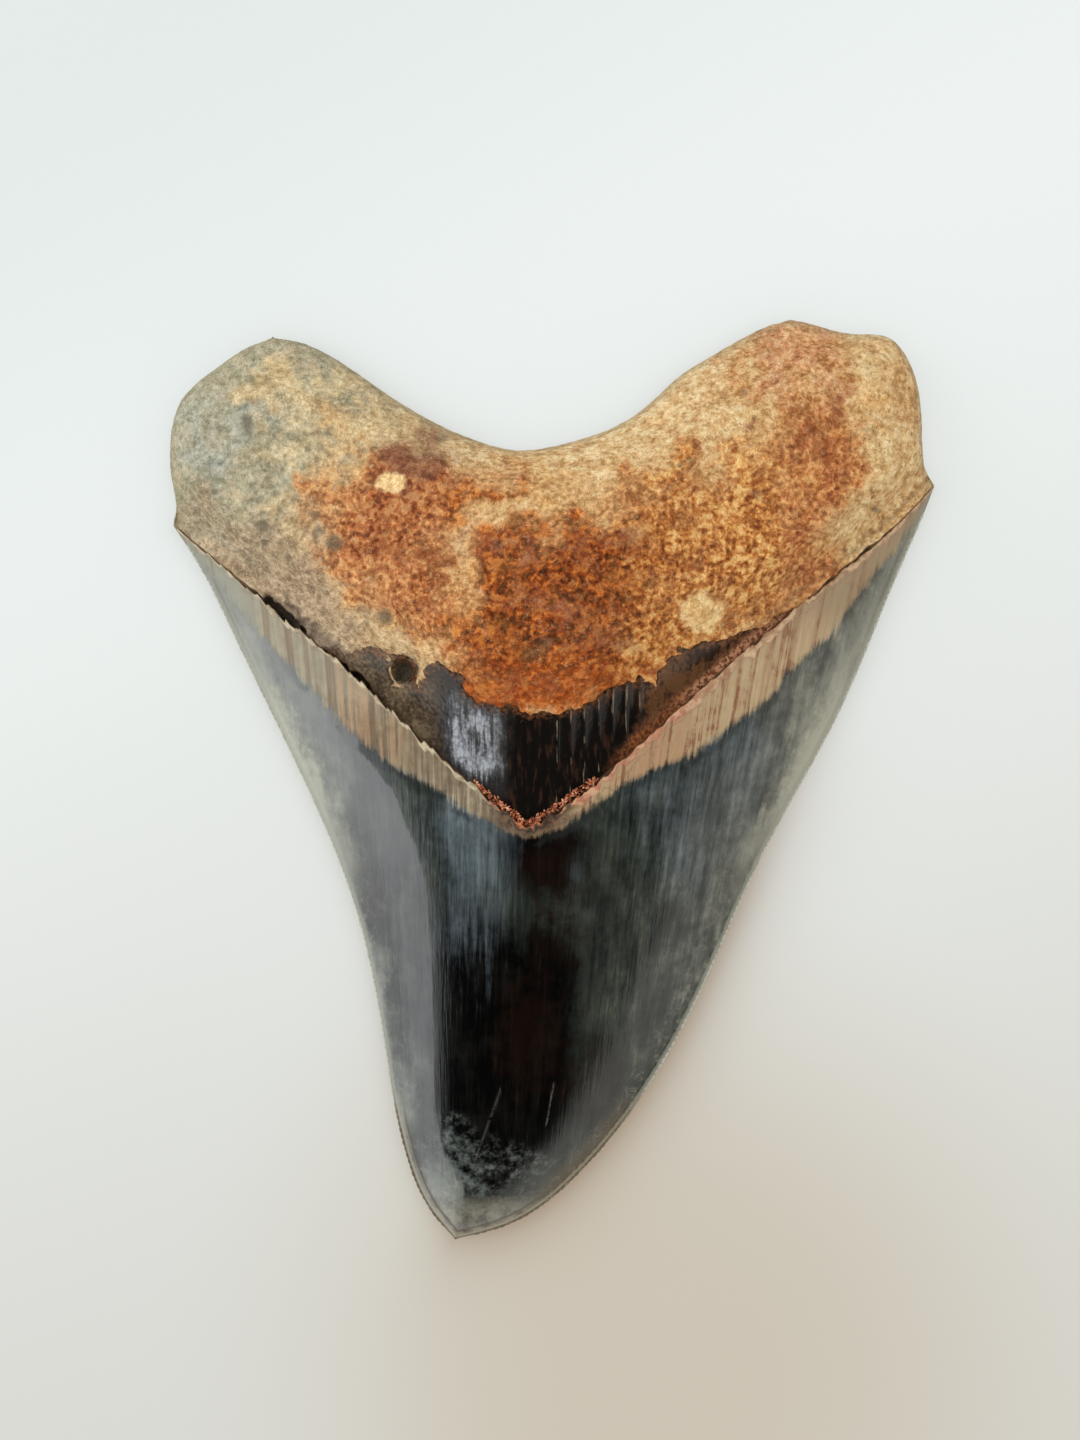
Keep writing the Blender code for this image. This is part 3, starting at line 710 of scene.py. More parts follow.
def random_vector(nodes, low, high, seed):
    limits = {"Min": low, "Max": high, "Seed": seed}
    return nodes.node("FunctionNodeRandomValue", {"data_type": "FLOAT_VECTOR"}, limits)


def random_number(nodes, low, high, seed):
    limits = {"Min": low, "Max": high, "Seed": seed}
    return nodes.node("FunctionNodeRandomValue", {"data_type": "FLOAT"}, limits, 1)


def walk_along(nodes, mesh, pitch):
    """Points at even steps along a line of joined points."""
    curve = nodes.node("GeometryNodeMeshToCurve", inputs={"Mesh": mesh})
    return nodes.node("GeometryNodeCurveToPoints", {"mode": "LENGTH"}, {"Curve": curve, "Length": pitch})


def set_on(nodes, points, shape, turn, scale):
    """A copy of the shape on every point, shaded smooth."""
    copies = nodes.node("GeometryNodeInstanceOnPoints",
                        inputs={"Points": points, "Instance": shape, "Rotation": turn, "Scale": scale})
    return nodes.node("GeometryNodeSetShadeSmooth", inputs={"Geometry": copies})


def grow(piece, tree, sizes):
    """Runs the tree on the piece with these sizes and keeps the result as a plain mesh."""
    modifier = piece.modifiers.new(tree.name, "NODES")
    modifier.node_group = tree
    for item in tree.interface.items_tree:
        if item.in_out == "INPUT" and item.name in sizes:
            modifier[item.identifier] = sizes[item.name]
    graph = bpy.context.evaluated_depsgraph_get()
    mesh = bpy.data.meshes.new_from_object(piece.evaluated_get(graph), preserve_all_data_layers=True,
                                           depsgraph=graph)
    piece.modifiers.remove(modifier)
    piece.data = mesh
    mesh.name = piece.name
    print(f"{piece.name}: {len(mesh.polygons)} faces after {tree.name}")
    return piece


# %% [markdown]
# ## Finish helpers
#
# Every finish is a Principled shader with a colour, a roughness and a bump that vary over the surface. What
# stays the same all over is set on the shader itself.

# %% Material maker
def new_finish(name, fixed):
    """A new material, as what the layers of its finish share: its nodes, and the place in millimetres."""
    material = bpy.data.materials.new(name)
    material.use_nodes = True
    nodes = Nodes(material.node_tree)
    for socket, value in fixed.items():
        nodes.fill(material.node_tree.nodes["Principled BSDF"].inputs[socket], value)
    place = nodes.scaled(nodes.node("ShaderNodeTexCoord", out="Object"), PER_METRE)
    return SimpleNamespace(material=material, nodes=nodes, place=place, x=nodes.part(place, 0),
                           y=nodes.part(place, 1), fact=nodes.attribute, mix=nodes.mix, ramp=nodes.ramp)


def wire_finish(look, colour, roughness, height, deep):
    """Joins colour, roughness and a bump of this depth in millimetres to the shader."""
    size = {"Strength": 1.0, "Distance": deep * MM, "Height": height}
    bump = look.nodes.node("ShaderNodeBump", inputs=size)
    for socket, value in (("Base Color", colour), ("Roughness", roughness), ("Normal", bump)):
        look.nodes.fill(look.material.node_tree.nodes["Principled BSDF"].inputs[socket], value)
    return look.material


# %% [markdown]
# ## The root
#
# Fossil bone is porous and stained by iron. The stains are broad soft ovals here, and the material breaks
# them into grains. A crack runs along the enamel on both arms, because the bone has shrunk away from it.
# The bone ends on the bourlette in a ragged crust about a third of a millimetre thick.

# %% Root stains, in millimetres
STAIN_PLANE = 23.0  # the stains are listed as seen on a level plane at this height
RUST = [
    (-21.5, 37.2, 5.5, 2.6, 0.9), (-20.5, 31.5, 6, 4.4, 1), (-25, 34, 4.2, 3.6, 0.75),
    (-19, 41, 4, 3.2, 0.9), (-25, 40, 3, 2.4, 0.5), (-15.5, 38, 3, 2.4, 0.7), (-17.3, 24.5, 2.2, 4.6, 0.75),
    (-20.5, 20.5, 2.4, 2, 0.5), (-26.5, 28.5, 3, 2.6, 0.5), (-1.5, 27.5, 7.5, 6, 1), (5.5, 30, 7.5, 4, 0.9),
    (-4.5, 21.5, 7.5, 6, 1), (5, 20.5, 8.5, 7, 0.95), (-8.5, 15.5, 5, 4.2, 0.95), (0, 12.5, 8.5, 3.4, 1),
    (-8.5, 20.5, 3.4, 5.5, 0.8), (-7, 31, 3.2, 2.8, 0.6), (14.5, 29.5, 6.5, 5.5, 0.8),
    (22.5, 31.5, 7, 5, 0.85), (16.5, 21.5, 6, 5, 0.8), (26.5, 24.5, 6.5, 4.4, 0.55),
    (30.5, 31, 4.5, 5, 0.65), (12, 16, 5, 3.5, 0.85), (19.5, 37.5, 8, 4, 0.62), (29, 37, 4, 3.4, 0.5),
    (25, 42, 4.4, 4, 0.4), (34.5, 44, 3.8, 4.6, 0.8), (38.5, 47.8, 3.4, 2.6, 0.8),
    (39.5, 43.5, 3, 3.2, 0.6), (36.5, 39.5, 3.4, 3, 0.6), (31.5, 58.5, 5, 2.6, 0.85),
    (26.5, 55, 3.6, 1.8, 0.7), (25, 51.5, 1.6, 1.2, 0.6), (35.5, 56, 4, 4, 0.6),
    (44.5, 53.5, 2.6, 2.6, 0.3), (15.8, 40.6, 2.2, 2, 0.7), (27.2, 38.2, 1.8, 1.6, 0.8),
    (31.3, 49.5, 2.5, 2, 0.45), (-9, 39.6, 4, 1, 0.75), (-31.5, 38.2, 2.2, 1.6, 0.4),
    (-8.5, 42.5, 3.2, 2, 0.35), (-22.5, 25.5, 3.2, 2.6, 0.4)]
BARE = [
    (-12.6, 30, 2.3, 4, 0.6), (-11.8, 24, 1.8, 2.6, 0.4), (-3, 36.5, 7, 1.5, 0.4),
    (-0.5, 33, 2.4, 1.6, 0.4), (41, 53, 3.4, 3.4, 0.75)]
MARKS = [
    (27.2, 38.2, 1.2, 1.1, 1), (18.2, 42.9, 1.5, 1, 0.9), (33.6, 46.5, 1.2, 1.8, 0.9),
    (35.3, 43.3, 1.2, 1, 0.8), (38.8, 48.2, 2.2, 0.9, 0.8), (41.5, 46.5, 1.4, 0.8, 0.7),
    (30.8, 45.9, 0.9, 1.3, 0.7), (31.2, 33.2, 1.4, 1.2, 0.8), (28.5, 34.5, 1.3, 0.9, 0.7),
    (43, 35.6, 0.8, 0.8, 0.8), (25.4, 51.9, 1, 0.8, 0.7), (28.5, 53.7, 2.6, 0.35, 0.9),
    (27, 47.2, 1.2, 0.9, 0.6), (20.5, 35.8, 0.9, 1.4, 0.6), (3.2, 31.5, 1.6, 1.8, 0.7),
    (-0.3, 30, 1.2, 1.8, 0.7), (-20.3, 30.4, 1.6, 1.2, 0.7), (-16.4, 30.8, 1, 1.4, 0.6),
    (24.6, 20.3, 1, 1, 0.8), (27.5, 21.3, 1.8, 0.7, 0.8), (-1.8, 17, 2.2, 1, 0.7),
    (-7.5, 18.2, 1.4, 1.2, 0.6), (-14.3, 45.8, 1.2, 0.8, 0.8), (16.9, 50.2, 1.6, 0.4, 0.6),
    (-15.2, 28, 0.6, 4, 1)]
PURPLE = [
    (-17.8, 43.5, 4, 3.2, 1), (-4.5, 30.5, 2.4, 2.4, 0.6), (5.5, 22, 4, 3.5, 0.45), (-2, 23, 4.5, 3, 0.4),
    (9.5, 31, 2.6, 2.2, 0.5), (39, 48, 2.4, 1.8, 0.5), (-19.5, 29.6, 2.4, 1.4, 0.35),
    (36, 58, 2.5, 1.5, 0.3)]
OCHRE = [
    (-37.2, 53, 3.2, 2.8, 1), (-31.5, 36, 3.6, 3.6, 0.5), (-31, 49.6, 5, 1.8, 0.6),
    (-25.5, 43, 4.6, 2.8, 0.9), (-28.5, 40, 3.2, 2.4, 0.6), (-37.5, 43.5, 3.4, 2.6, 0.6),
    (-34.5, 35, 2.8, 2, 0.6), (-32, 42, 3, 3, 0.4), (-32, 33.2, 2.4, 1.2, 0.45), (-17.5, 25, 2.6, 4, 0.8),
    (-12.5, 21.5, 3, 3.2, 0.6), (-21.5, 19, 3, 2, 0.8), (-26, 22.5, 2.5, 2.5, 0.3),
    (43.5, 50.8, 3.4, 1.6, 0.7), (45.5, 54.5, 2.2, 2.4, 0.5), (28, 24, 4, 3, 0.5),
    (18.5, 17.8, 3.6, 1.6, 0.7), (34, 32, 3, 3, 0.35), (-12.3, 29, 2.4, 4.4, 0.8), (-2, 38, 7, 2.2, 0.9),
    (-22.5, 25.5, 3, 2.6, 0.8), (-34.5, 48, 5, 2.6, 0.5)]
PALE = [
    (-24.5, 47.2, 4.8, 2.8, 0.8), (-30.5, 46.5, 3.5, 2.5, 0.35), (-28.5, 53.5, 6, 3, 0.7),
    (-20.5, 48.5, 3.5, 2.5, 0.7), (0.5, 38.8, 9.5, 2.8, 0.4), (-5.5, 36, 6, 1.6, 0.6),
    (4.5, 36.5, 6.5, 1.8, 0.7), (17.5, 47.5, 8.5, 4, 0.4), (9, 43.5, 7, 2.6, 0.35), (24.5, 44, 5, 5, 0.2),
    (30, 51, 4, 3, 0.4), (38.5, 34, 5, 4.4, 0.85), (45.5, 40.5, 3.5, 4.5, 0.8), (44, 46.5, 2.5, 3, 0.5),
    (-20.9, 40, 2.2, 1.4, 0.9), (-12, 30.5, 3.4, 4, 0.3), (-10.5, 25.5, 3, 2.6, 0.6),
    (19.8, 22.3, 2.6, 2.6, 1), (-17, 18, 3.4, 1.8, 0.5), (21.5, 52.5, 5, 2.5, 0.2), (42, 54, 4.6, 4.2, 1),
    (-42, 39, 4, 4, 0.25)]
SLATE = [
    (-44.5, 43.5, 4.4, 3.4, 0.9), (-40.3, 47.6, 2.2, 2.2, 0.95), (-37, 46.8, 2, 1.4, 0.6),
    (-47.5, 46.5, 2.8, 3.6, 0.6), (-44, 38.5, 2, 1.6, 0.6), (-36, 38.3, 2.4, 1.6, 0.4),
    (-33, 43, 2.6, 2, 0.2), (-40.5, 51, 4, 2, 0.35), (-30, 57.5, 5, 1.5, 0.15), (-11.5, 44.6, 4, 0.9, 0.5),
    (-13, 33.5, 2.6, 2.2, 0.55), (-5, 38.2, 1.8, 1.2, 0.55), (-22, 21.6, 1.5, 1.3, 0.7),
    (-33, 18.3, 4, 1.5, 0.3), (49.5, 44, 1.5, 5.5, 0.5), (20, 57.5, 5, 1.6, 0.45), (24, 48, 2, 2, 0.25),
    (-46.5, 52.5, 3, 3, 0.35)]
PORES = [
    (-38.3, 33.8, 0.9, 1, 1), (-38.2, 31.3, 0.5, 0.5, 0.8), (-29, 31.7, 1.1, 1.2, 1),
    (-35.2, 29.4, 0.6, 0.8, 0.7), (-22.3, 21.6, 1.2, 1.3, 0.9), (-40.3, 47.4, 1, 1.6, 0.7),
    (-44.8, 38.4, 0.6, 0.6, 0.8), (-45.8, 42, 0.7, 0.7, 0.5), (-14.3, 45.8, 1.1, 0.7, 0.7),
    (-31.5, 35.5, 1, 0.5, 0.8), (-36.6, 38, 0.9, 0.8, 0.6), (-33.3, 17, 0.7, 0.5, 0.6),
    (-26.8, 20.6, 0.6, 0.6, 0.7), (-19.5, 14.7, 1.6, 1.6, 1), (18.2, 42.9, 1.2, 0.8, 0.6),
    (16.9, 42.2, 0.5, 0.5, 0.7), (25.3, 51.8, 1, 0.9, 0.6), (41.5, 46.6, 1.3, 0.5, 0.6),
    (43, 35.6, 0.6, 0.6, 0.8), (27.2, 38.3, 1, 0.9, 0.6), (-32.5, 41, 0.5, 0.5, 0.5),
    (-24, 27.2, 0.4, 0.4, 0.6), (1.6, 31.1, 2, 0.6, 0.5), (-1, 18.7, 1.6, 1, 0.6),
    (-2.9, 16.8, 2, 0.9, 0.5), (33, 45, 0.6, 0.6, 0.5), (35.5, 42.7, 0.5, 0.5, 0.5)]
CRACK_WIDE = [
    (0, 0.05), (0.08, 0.08), (0.115, 0.15), (0.135, 0.5), (0.16, 0.7), (0.18, 0.5), (0.2, 0.08),
    (0.235, 0.08), (0.25, 0.45), (0.268, 0.6), (0.285, 0.15), (0.3, 0), (0.5, 0.05), (0.75, 0), (0.84, 0),
    (0.87, 0.15), (0.9, 0.25), (0.93, 0.1), (0.96, 0), (1, 0)]
CREAM = [
    (20, 22.3, 2.6, 2.5, 1), (-10.7, 25.3, 2.6, 2.4, 0.35), (-21.3, 39.8, 2, 1.3, 0.9),
    (-17.5, 17.8, 3, 1.5, 0.4), (-16.4, 14.4, 1.3, 1.5, 0.5)]
print(sum(map(len, (RUST, MARKS, PURPLE, OCHRE, PALE, SLATE))), "stains,", len(PORES), "pores")

# %% Neck, crack and rim
ROOT_COLUMNS = 300
ROOT_ROWS = 150
CRUST = 0.32  # how proud the bone stands, before it is weathered down
SKIN_LOW = 0.28  # how far the bourlette lies below that level
UNDER_CRUST = 0.60  # and how far the bone lies below it, where the bourlette covers it
OUTER_STEP = 0.12  # on the outer face the enamel stands this proud of the bone
TUCK = 1.3  # the root reaches this far under the enamel
TUCK_DROP = 0.9  # and a row of points hidden there lies this much deeper
FAR = 9.0  # stands for the distance to an edge that a face doesn't have


def ragged_neck(points):
    """Distance above the bone's lower edge, made uneven as a crumbling crust is."""
    line = np.maximum(above(NECK, points), 2.8 - hole_distance(points))
    return line + 0.75 * lumps(points, 2.1, 8.1) + 0.55 * lumps(points, 0.9, 3.3)


def crack_share(points, across, v_distance):
    """1 at the bottom of the crack along the enamel, 0 outside it, and the crack's width."""
    wide = lookup(CRACK_WIDE, across) * (1.2 + 1.6 * lumps(points, 2.4, 5.5) + 1.6 * lumps(points, 1.0, 9.5))
    wide = np.maximum(wide, 0.0) + 0.06
    return 1 - smoothstep(wide * 0.65, wide * 1.1 + 0.15, v_distance), wide


def cracked(surface, points, across, v_distance):
    crack, wide = crack_share(points, across, v_distance)
    return surface - (0.35 * smoothstep(0.05, 0.3, wide) + 1.6 * smoothstep(0.25, 0.8, wide)) * crack


def onto_rim(surface, points, v_distance, rim):
    """Brings a surface down to the outline in a quarter round."""
    level, on_root = edge_level(points, v_distance)
    return level + (surface - level) * rounded(rim, RIM_ROUND * np.clip(on_root, 0.12, 1.0))


def beyond_v(points):
    """Distance from the V where the enamel starts, counted negative on the crown."""
    line = enamel_edge(np.linspace(0, 1, 161))
    below = points[..., 1] < np.interp(points[..., 0], line[:, 0], line[:, 1]) - 1e-6
    return from_v(points) * np.where(below, -1.0, 1.0)


def off_shoulders(across, steep=12):
    """0 at the two shoulders, where root and crown meet in a corner, and 1 between them."""
    return np.clip(np.minimum(across, 1 - across) * steep, 0.0, 1.0)


def with_tuck(points, heights, across, drop):
    """Adds a last row that slips under the enamel, except at the shoulders."""
    inside = off_shoulders(across)
    place = points[-1] - np.array([0.0, TUCK]) * inside[:, None]
    hidden = np.dstack([place[None], (heights[-1] - drop * inside)[None]])
    return np.concatenate([np.dstack([points, heights]), hidden])


def longer(values):
    return np.concatenate([values, values[-1:]])


# %% Root shell
def root_shell():
    across = spread(ROOT_COLUMNS, 0.3, 0.3)
    down = spread(ROOT_ROWS, 0.2, 0.12)
    inner = root_patch(enamel_edge(across), across, down)
    outer = root_patch(outer_line(across), across, down)
    u, v = np.meshgrid(across, down)
    rim = from_rim(inner)
    outer_rim = from_rim(outer)
    v_distance = from_v(inner)
    neck = ragged_neck(inner)
    bone = smoothstep(-0.25, 0.25, neck)
    surface = neck_surface(inner, u, v, v_distance) + CRUST * bone - UNDER_CRUST * (1 - bone)
    top = onto_rim(cracked(surface, inner, u, v_distance), inner, v_distance, rim)
    under = under_side(outer, beyond_v(outer), outer_rim) + OUTER_STEP
    level = edge_level(inner, v_distance)[0]
    for sheet in (top, under):
        sheet[0], sheet[:, 0], sheet[:, -1] = level[0], level[:, 0], level[:, -1]
    sheets = with_tuck(inner, top, across, TUCK_DROP), with_tuck(outer, under, across, -TUCK_DROP)

    seen = [seen_on(STAIN_PLANE, sheet) for sheet in sheets]
    facts = read_on(seen, {"pore": PORES, "cream": CREAM})
    seen = [uneven(points, 4.5, 2.2) for points in seen]
    facts |= read_on(seen, {"rust": RUST, "purple": PURPLE, "ochre": OCHRE, "pale": PALE, "slate": SLATE,
                            "mark": MARKS})
    facts["rust"] = [rust * (1 - soft_spots(points, BARE)) for rust, points in zip(facts["rust"], seen)]
    for name, share in (("cream", 0.0), ("pore", 0.3), ("mark", 0.5), ("purple", 0.5), ("rust", 0.8)):
        facts[name][1] = facts[name][1] * share  # the outer face has fainter stains
    crack = crack_share(inner, u, v_distance)[0]
    far = np.full_like(neck, FAR)
    corner = np.minimum(*[np.linalg.norm(inner - crest, axis=-1) for crest in (LEFT_CREST, RIGHT_CREST)])
    free = bone * (1 - crack) * smoothstep(0.3, 2.0, v_distance) * smoothstep(0.0, 1.2, corner)
    outer_free = smoothstep(0.3, 2.0, outer[..., 1] - outer_line(across)[None, :, 1])
    pairs = {"neck": (neck, far), "crack": (crack, crack * 0), "rim": (rim, outer_rim),
             "ledge": (v_distance, far),
             "weathering": (free * (0.35 + 0.65 * smoothstep(0.0, 4.0, rim)),
                            outer_free * (0.35 + 0.45 * smoothstep(0.0, 4.0, outer_rim)))}
    facts |= {name: [longer(values) for values in pair] for name, pair in pairs.items()}
    return closed_shell("root", *sheets, facts, ["last_row"])


root = root_shell()

# %% [markdown]
# ### Weathered bone
#
# Low lumps and open pores are pushed into the mesh itself. The pores are cells of Voronoi noise: a cell's
# middle sinks where a slower noise allows it. The finer grain is left to the material's bump.

# %% The bone's noises
def bone_look():
    """What the layers of the bone's finish share: noises from broad to fine, and sums of them."""
    look = new_finish("stained_bone", {"IOR": 1.5, "Specular IOR Level": 0.1})
    nodes, place = look.nodes, look.place
    look.broad = nodes.noise(place, 7.0, 6.0, 0.66)
    look.patch_noise = nodes.noise(nodes.moved(place, (3.0, 11.0, 5.0)), 2.6, 4.0, 0.68)
    look.grain = nodes.noise(place, 1.7, 3.0, 0.55)
    look.grit = nodes.noise(place, 0.75, 2.0, 0.55)
    look.tone = nodes.noise(nodes.moved(place, (9.0, 2.0, 4.0)), 4.6, 3.0, 0.6)
    look.worms = abs(nodes.noise(place, 1.25, 2.0, 0.6, 1.8)).step(0.07, 0.015)
    look.chips = nodes.noise(nodes.moved(place, (5.0, 8.0, 1.0)), 0.95, 3.0, 0.72)
    # The shades follow this sum, and the same noises raise the bump: lighter on raised grains, darker in
    # hollows, partly the bone's tone and partly painted light and shade.
    look.mixed = look.broad * 0.4 + look.patch_noise * 0.6 + look.grain * 0.9 + look.grit
    look.break_up = look.broad * 1.1 + look.patch_noise * 1.2 + look.grain * 0.7
    look.shift = look.x + look.broad * 26
    look.side = look.shift.step(-34, -6)

    def shades(*four, reach=1.0):
        """A ramp from the darkest to the lightest of four shades, along the bone's grain and bump, partly
        painted light and shade.
        """
        stops = [(0.5 + at * reach, shade) for at, shade in zip((-0.23, -0.08, 0.06, 0.23), four)]
        return nodes.ramp(look.mixed, stops)

    look.shades = shades
    return look


bone = bone_look()
print("bone noises:", len(bone.nodes.tree.nodes), "nodes")

# %% The bone's ground colour
def bone_ground(look):
    """Grey on the left and gold on the right, with the broad slate, pale and ochre stains."""
    grey_tan = look.shades((143, 137, 112), (161, 155, 129), (174, 167, 141), (189, 181, 155))
    rosy_tan = look.shades((134, 110, 86), (158, 132, 104), (176, 150, 121), (197, 171, 142))
    rosy = (look.y + look.broad * 24 + look.tone * 14).step(43, 29)
    grey_tan.lay(rosy * 0.85, rosy_tan)
    gold_tan = look.shades((182, 138, 90), (211, 169, 116), (225, 190, 138), (240, 214, 168))
    colour = look.mix(look.side, grey_tan, gold_tan)
    warm = (look.tone + look.grain * 0.6).step(0.02, 0.20) * (1 - look.side)
    colour.lay(warm * 0.2, (196, 160, 116))
    slate = (look.fact("slate") + look.break_up * 0.6).step(0.20, 1.05)
    colour.lay(slate * 0.7, look.shades((114, 122, 117), (143, 150, 142), (161, 167, 158), (180, 185, 174)))
    pale = (look.fact("pale") + look.break_up * 0.8).step(0.20, 1.0)
    colour.lay(pale * 0.65, look.shades((196, 160, 110), (216, 183, 130), (227, 198, 146), (240, 218, 169)))
    ochre = (look.fact("ochre") + look.break_up * 0.8).step(0.20, 1.05)
    ochre_shades = look.shades((182, 150, 102), (208, 176, 124), (222, 193, 145), (236, 213, 169))
    ochre_shades.lay(look.x.step(-34, -29),
                     look.shades((160, 104, 50), (198, 142, 79), (214, 160, 95), (234, 192, 130)))
    colour.lay(ochre * 0.75, ochre_shades)
    return colour


# %% Rust
def rust_red(look):
    """Rust is redder on the left, deep orange in the middle and paler on the right."""
    rust_left = look.shades((104, 46, 26), (158, 86, 48), (190, 118, 69), (222, 164, 106), reach=0.85)
    rust_mid = look.shades((66, 22, 3), (114, 44, 9), (160, 72, 16), (210, 124, 48), reach=0.8)
    rust_right = look.shades((104, 48, 16), (168, 94, 40), (207, 138, 72), (240, 195, 126), reach=0.9)
    red = look.mix(look.shift.step(-18, -9), rust_left, rust_mid)
    red.lay(look.shift.step(6, 15), rust_right)
    red.lay(look.x.step(29, 32), rust_left)
    red.lay((look.y + look.tone * 8).step(49, 53),
            look.shades((146, 88, 56), (188, 126, 84), (210, 152, 108), (228, 182, 138)))
    red.lay((look.y + look.tone * 6).step(19, 13) * 0.3, (198, 88, 20))
    golden = (look.tone + look.grain * 0.5).step(0.0, 0.16) * look.shift.step(-24, -12)
    red.lay(golden * 0.2, (204, 142, 72))
    red.lay(look.tone.step(-0.04, -0.16) * 0.4, (142, 78, 52))
    return red


def lay_rust(look, colour):
    """Lays the rust over the ground, with a paler border. Gives how much of it there is."""
    border = (look.broad + look.patch_noise * 1.1 + look.grain * 1.1) * look.fact("rust").step(0.0, 0.35)
    border = border * (1 + look.x.step(8, 14) * 0.5)
    rust = look.fact("rust") * 0.95 + border + look.x.step(-12, -18) * 0.08
    under = look.fact("rust").step(0.10, 0.50)
    colour.lay(under * 0.75, look.shades((160, 98, 52), (196, 138, 82), (216, 162, 104), (236, 196, 142)))
    colour.lay(rust.step(0.06, 0.84) * 0.94, rust_red(look))
    deep = (rust + look.grain * 0.4).step(0.70, 1.20) * look.shift.step(18, 8)
    colour.lay(deep * 0.4, look.ramp(look.grain, [(0.38, (74, 27, 9)), (0.62, (140, 62, 24))]))
    return rust


# %% Small stains
def lay_small_stains(look, colour, rust):
    """Lays purple stains, worm tracks, specks, dark marks and cream spots, and paints light and shade on
    small lumps of the bump. Gives specks and marks.
    """
    purple = (look.fact("purple") + look.break_up * 0.8).step(0.15, 0.80)
    colour.lay(purple * 0.75, look.ramp(look.grain, [(0.36, (92, 52, 42)), (0.64, (150, 98, 76))]))
    colour.lay(look.worms * look.patch_noise.step(-0.04, 0.12) * 0.18, (232, 190, 134))
    specks = look.nodes.cells(look.place, 1.05).step(0.30, 0.12) * look.patch_noise.step(-0.06, 0.08)
    specks = specks * look.side * rust.step(0.6, 0.2)
    colour.lay(specks * 0.4, (146, 92, 46))
    mark = look.fact("mark")
    marks = (mark + look.grain * 2.6 + look.grit * 1.6).step(0.50, 0.80) * mark.step(0.0, 0.25)
    colour.lay(marks * 0.75, look.ramp(look.grit, [(0.35, (92, 40, 18)), (0.62, (150, 80, 44))]))
    cream = (look.fact("cream") + look.grain * 0.6).step(0.28, 0.62)
    colour.lay(cream * 0.85, look.ramp(look.mixed, [(0.3, (228, 180, 116)), (0.6, (255, 226, 168))]))
    # Painted light and shade on the bump: lighter where this noise raises it, darker where it sinks.
    colour.lay(look.chips.step(-0.09, -0.16) * 0.32, look.mix(look.side, (100, 92, 76), (92, 54, 26)))
    colour.lay(look.chips.step(0.10, 0.18) * (0.42 - rust.step(0.3, 0.9) * 0.26),
               look.mix(look.side, (204, 198, 176), (244, 206, 150)))
    olive = (look.fact("rim") + look.grain * 2.2).step(1.9, 0.2)
    colour.lay(olive * 0.45, (154, 144, 116))
    return specks, marks


# %% Rims, pores and the crack
def lay_rims(look, colour):
    """Lays what is along the tooth's rim, beside the enamel and in the pores, the hole and the crack."""
    ledge = look.fact("ledge") + look.patch_noise * 2.6 + look.grain * 1.2
    flakes = ledge.step(2.3, 1.5) * look.x.step(-22, -30) * look.x.step(-42, -36)
    colour.lay(flakes * 0.85, look.ramp(look.grain, [(0.35, (84, 71, 60)), (0.65, (146, 129, 110))]))
    strips = abs(ledge - 1.3).step(0.5, 0.1) * look.x.step(20, 30)
    colour.lay(strips * 0.45, (132, 96, 68))
    dents = (look.fact("pore") + look.grit * 0.5).step(0.30, 0.80)
    colour.lay(dents * 0.75, (104, 94, 76))
    # Painted shade inside the nerve hole.
    flat = look.nodes.scaled(look.place, (1.0, 1.0, 0.0))
    into_hole = look.nodes.distance(flat, (*(ORIGIN + np.array(NERVE_HOLE)), 0.0))
    colour.lay((into_hole + look.grit * 0.8).step(1.6, 1.0) * 0.85, (48, 45, 36))
    # The crack's floor is brown, with painted shade near black where it is widest, around x = -38.
    gap = look.fact("crack").step(0.15, 0.7)
    colour.lay(gap * 0.9, look.mix(abs(look.x + 38).step(5.0, 3.0), (108, 88, 68), (46, 36, 30)))
    colour.lay((look.fact("neck") + look.grit * 0.4).step(0.05, -0.2), (46, 32, 24))


# %% Bone finish
def bone_finish(look):
    colour = bone_ground(look)
    rust = lay_rust(look, colour)
    specks, marks = lay_small_stains(look, colour, rust)
    lay_rims(look, colour)
    height = (look.patch_noise * 0.8 + look.grain * 1.2 + look.grit * 0.7 + look.chips * 1.2 - specks * 0.3
              - marks * 0.2 + look.worms * 0.2)
    return wire_finish(look, colour, 0.78 + look.grit * 0.2, height, 0.48)


stained_bone = bone_finish(bone)
print("bone finish:", len(stained_bone.node_tree.nodes), "nodes")

# %% Weathering tree
def weathering_tree(sizes):
    nodes, mesh, size = geometry_tree("weathering", sizes)
    place = in_millimetres(nodes)
    lump = nodes.noise(place, 3.2, 3.0, 0.55)
    grain = nodes.noise(place, 1.25, 2.0, 0.6)
    where = nodes.noise(nodes.moved(place, (31.0, 7.0, 3.0)), 5.0, 2.0).step(0.06, 0.16)
    pore = nodes.cells(place, size["Pore Size"]).step(0.34, 0.10) * where
    height = lump * size["Lump Height"] + grain * size["Grain Height"] - pore * size["Pore Depth"]
    height = height - size["Worn Down"] - named(nodes, "pore") * 0.35
    shaped = pushed_out(nodes, mesh, height * named(nodes, "weathering") * MM)
    return finish_tree(nodes, shaped, stained_bone)


RELIEF = {"Pore Size": 2.6, "Pore Depth": 0.3, "Lump Height": 0.9, "Grain Height": 0.5, "Worn Down": 0.54}
grow(root, weathering_tree(RELIEF), RELIEF)

# %% [markdown]
# ## The bourlette
#
# Between bone and enamel the inner face has a thin dark skin, smooth and glossy. On the left it is finely
# wrinkled, and above the point of the V it has upright ribs like the teeth of a comb. It is its own thin
# slab here, cut from the same patch as the root but on a much finer grid, because the ribs are little more
# than a millimetre apart.

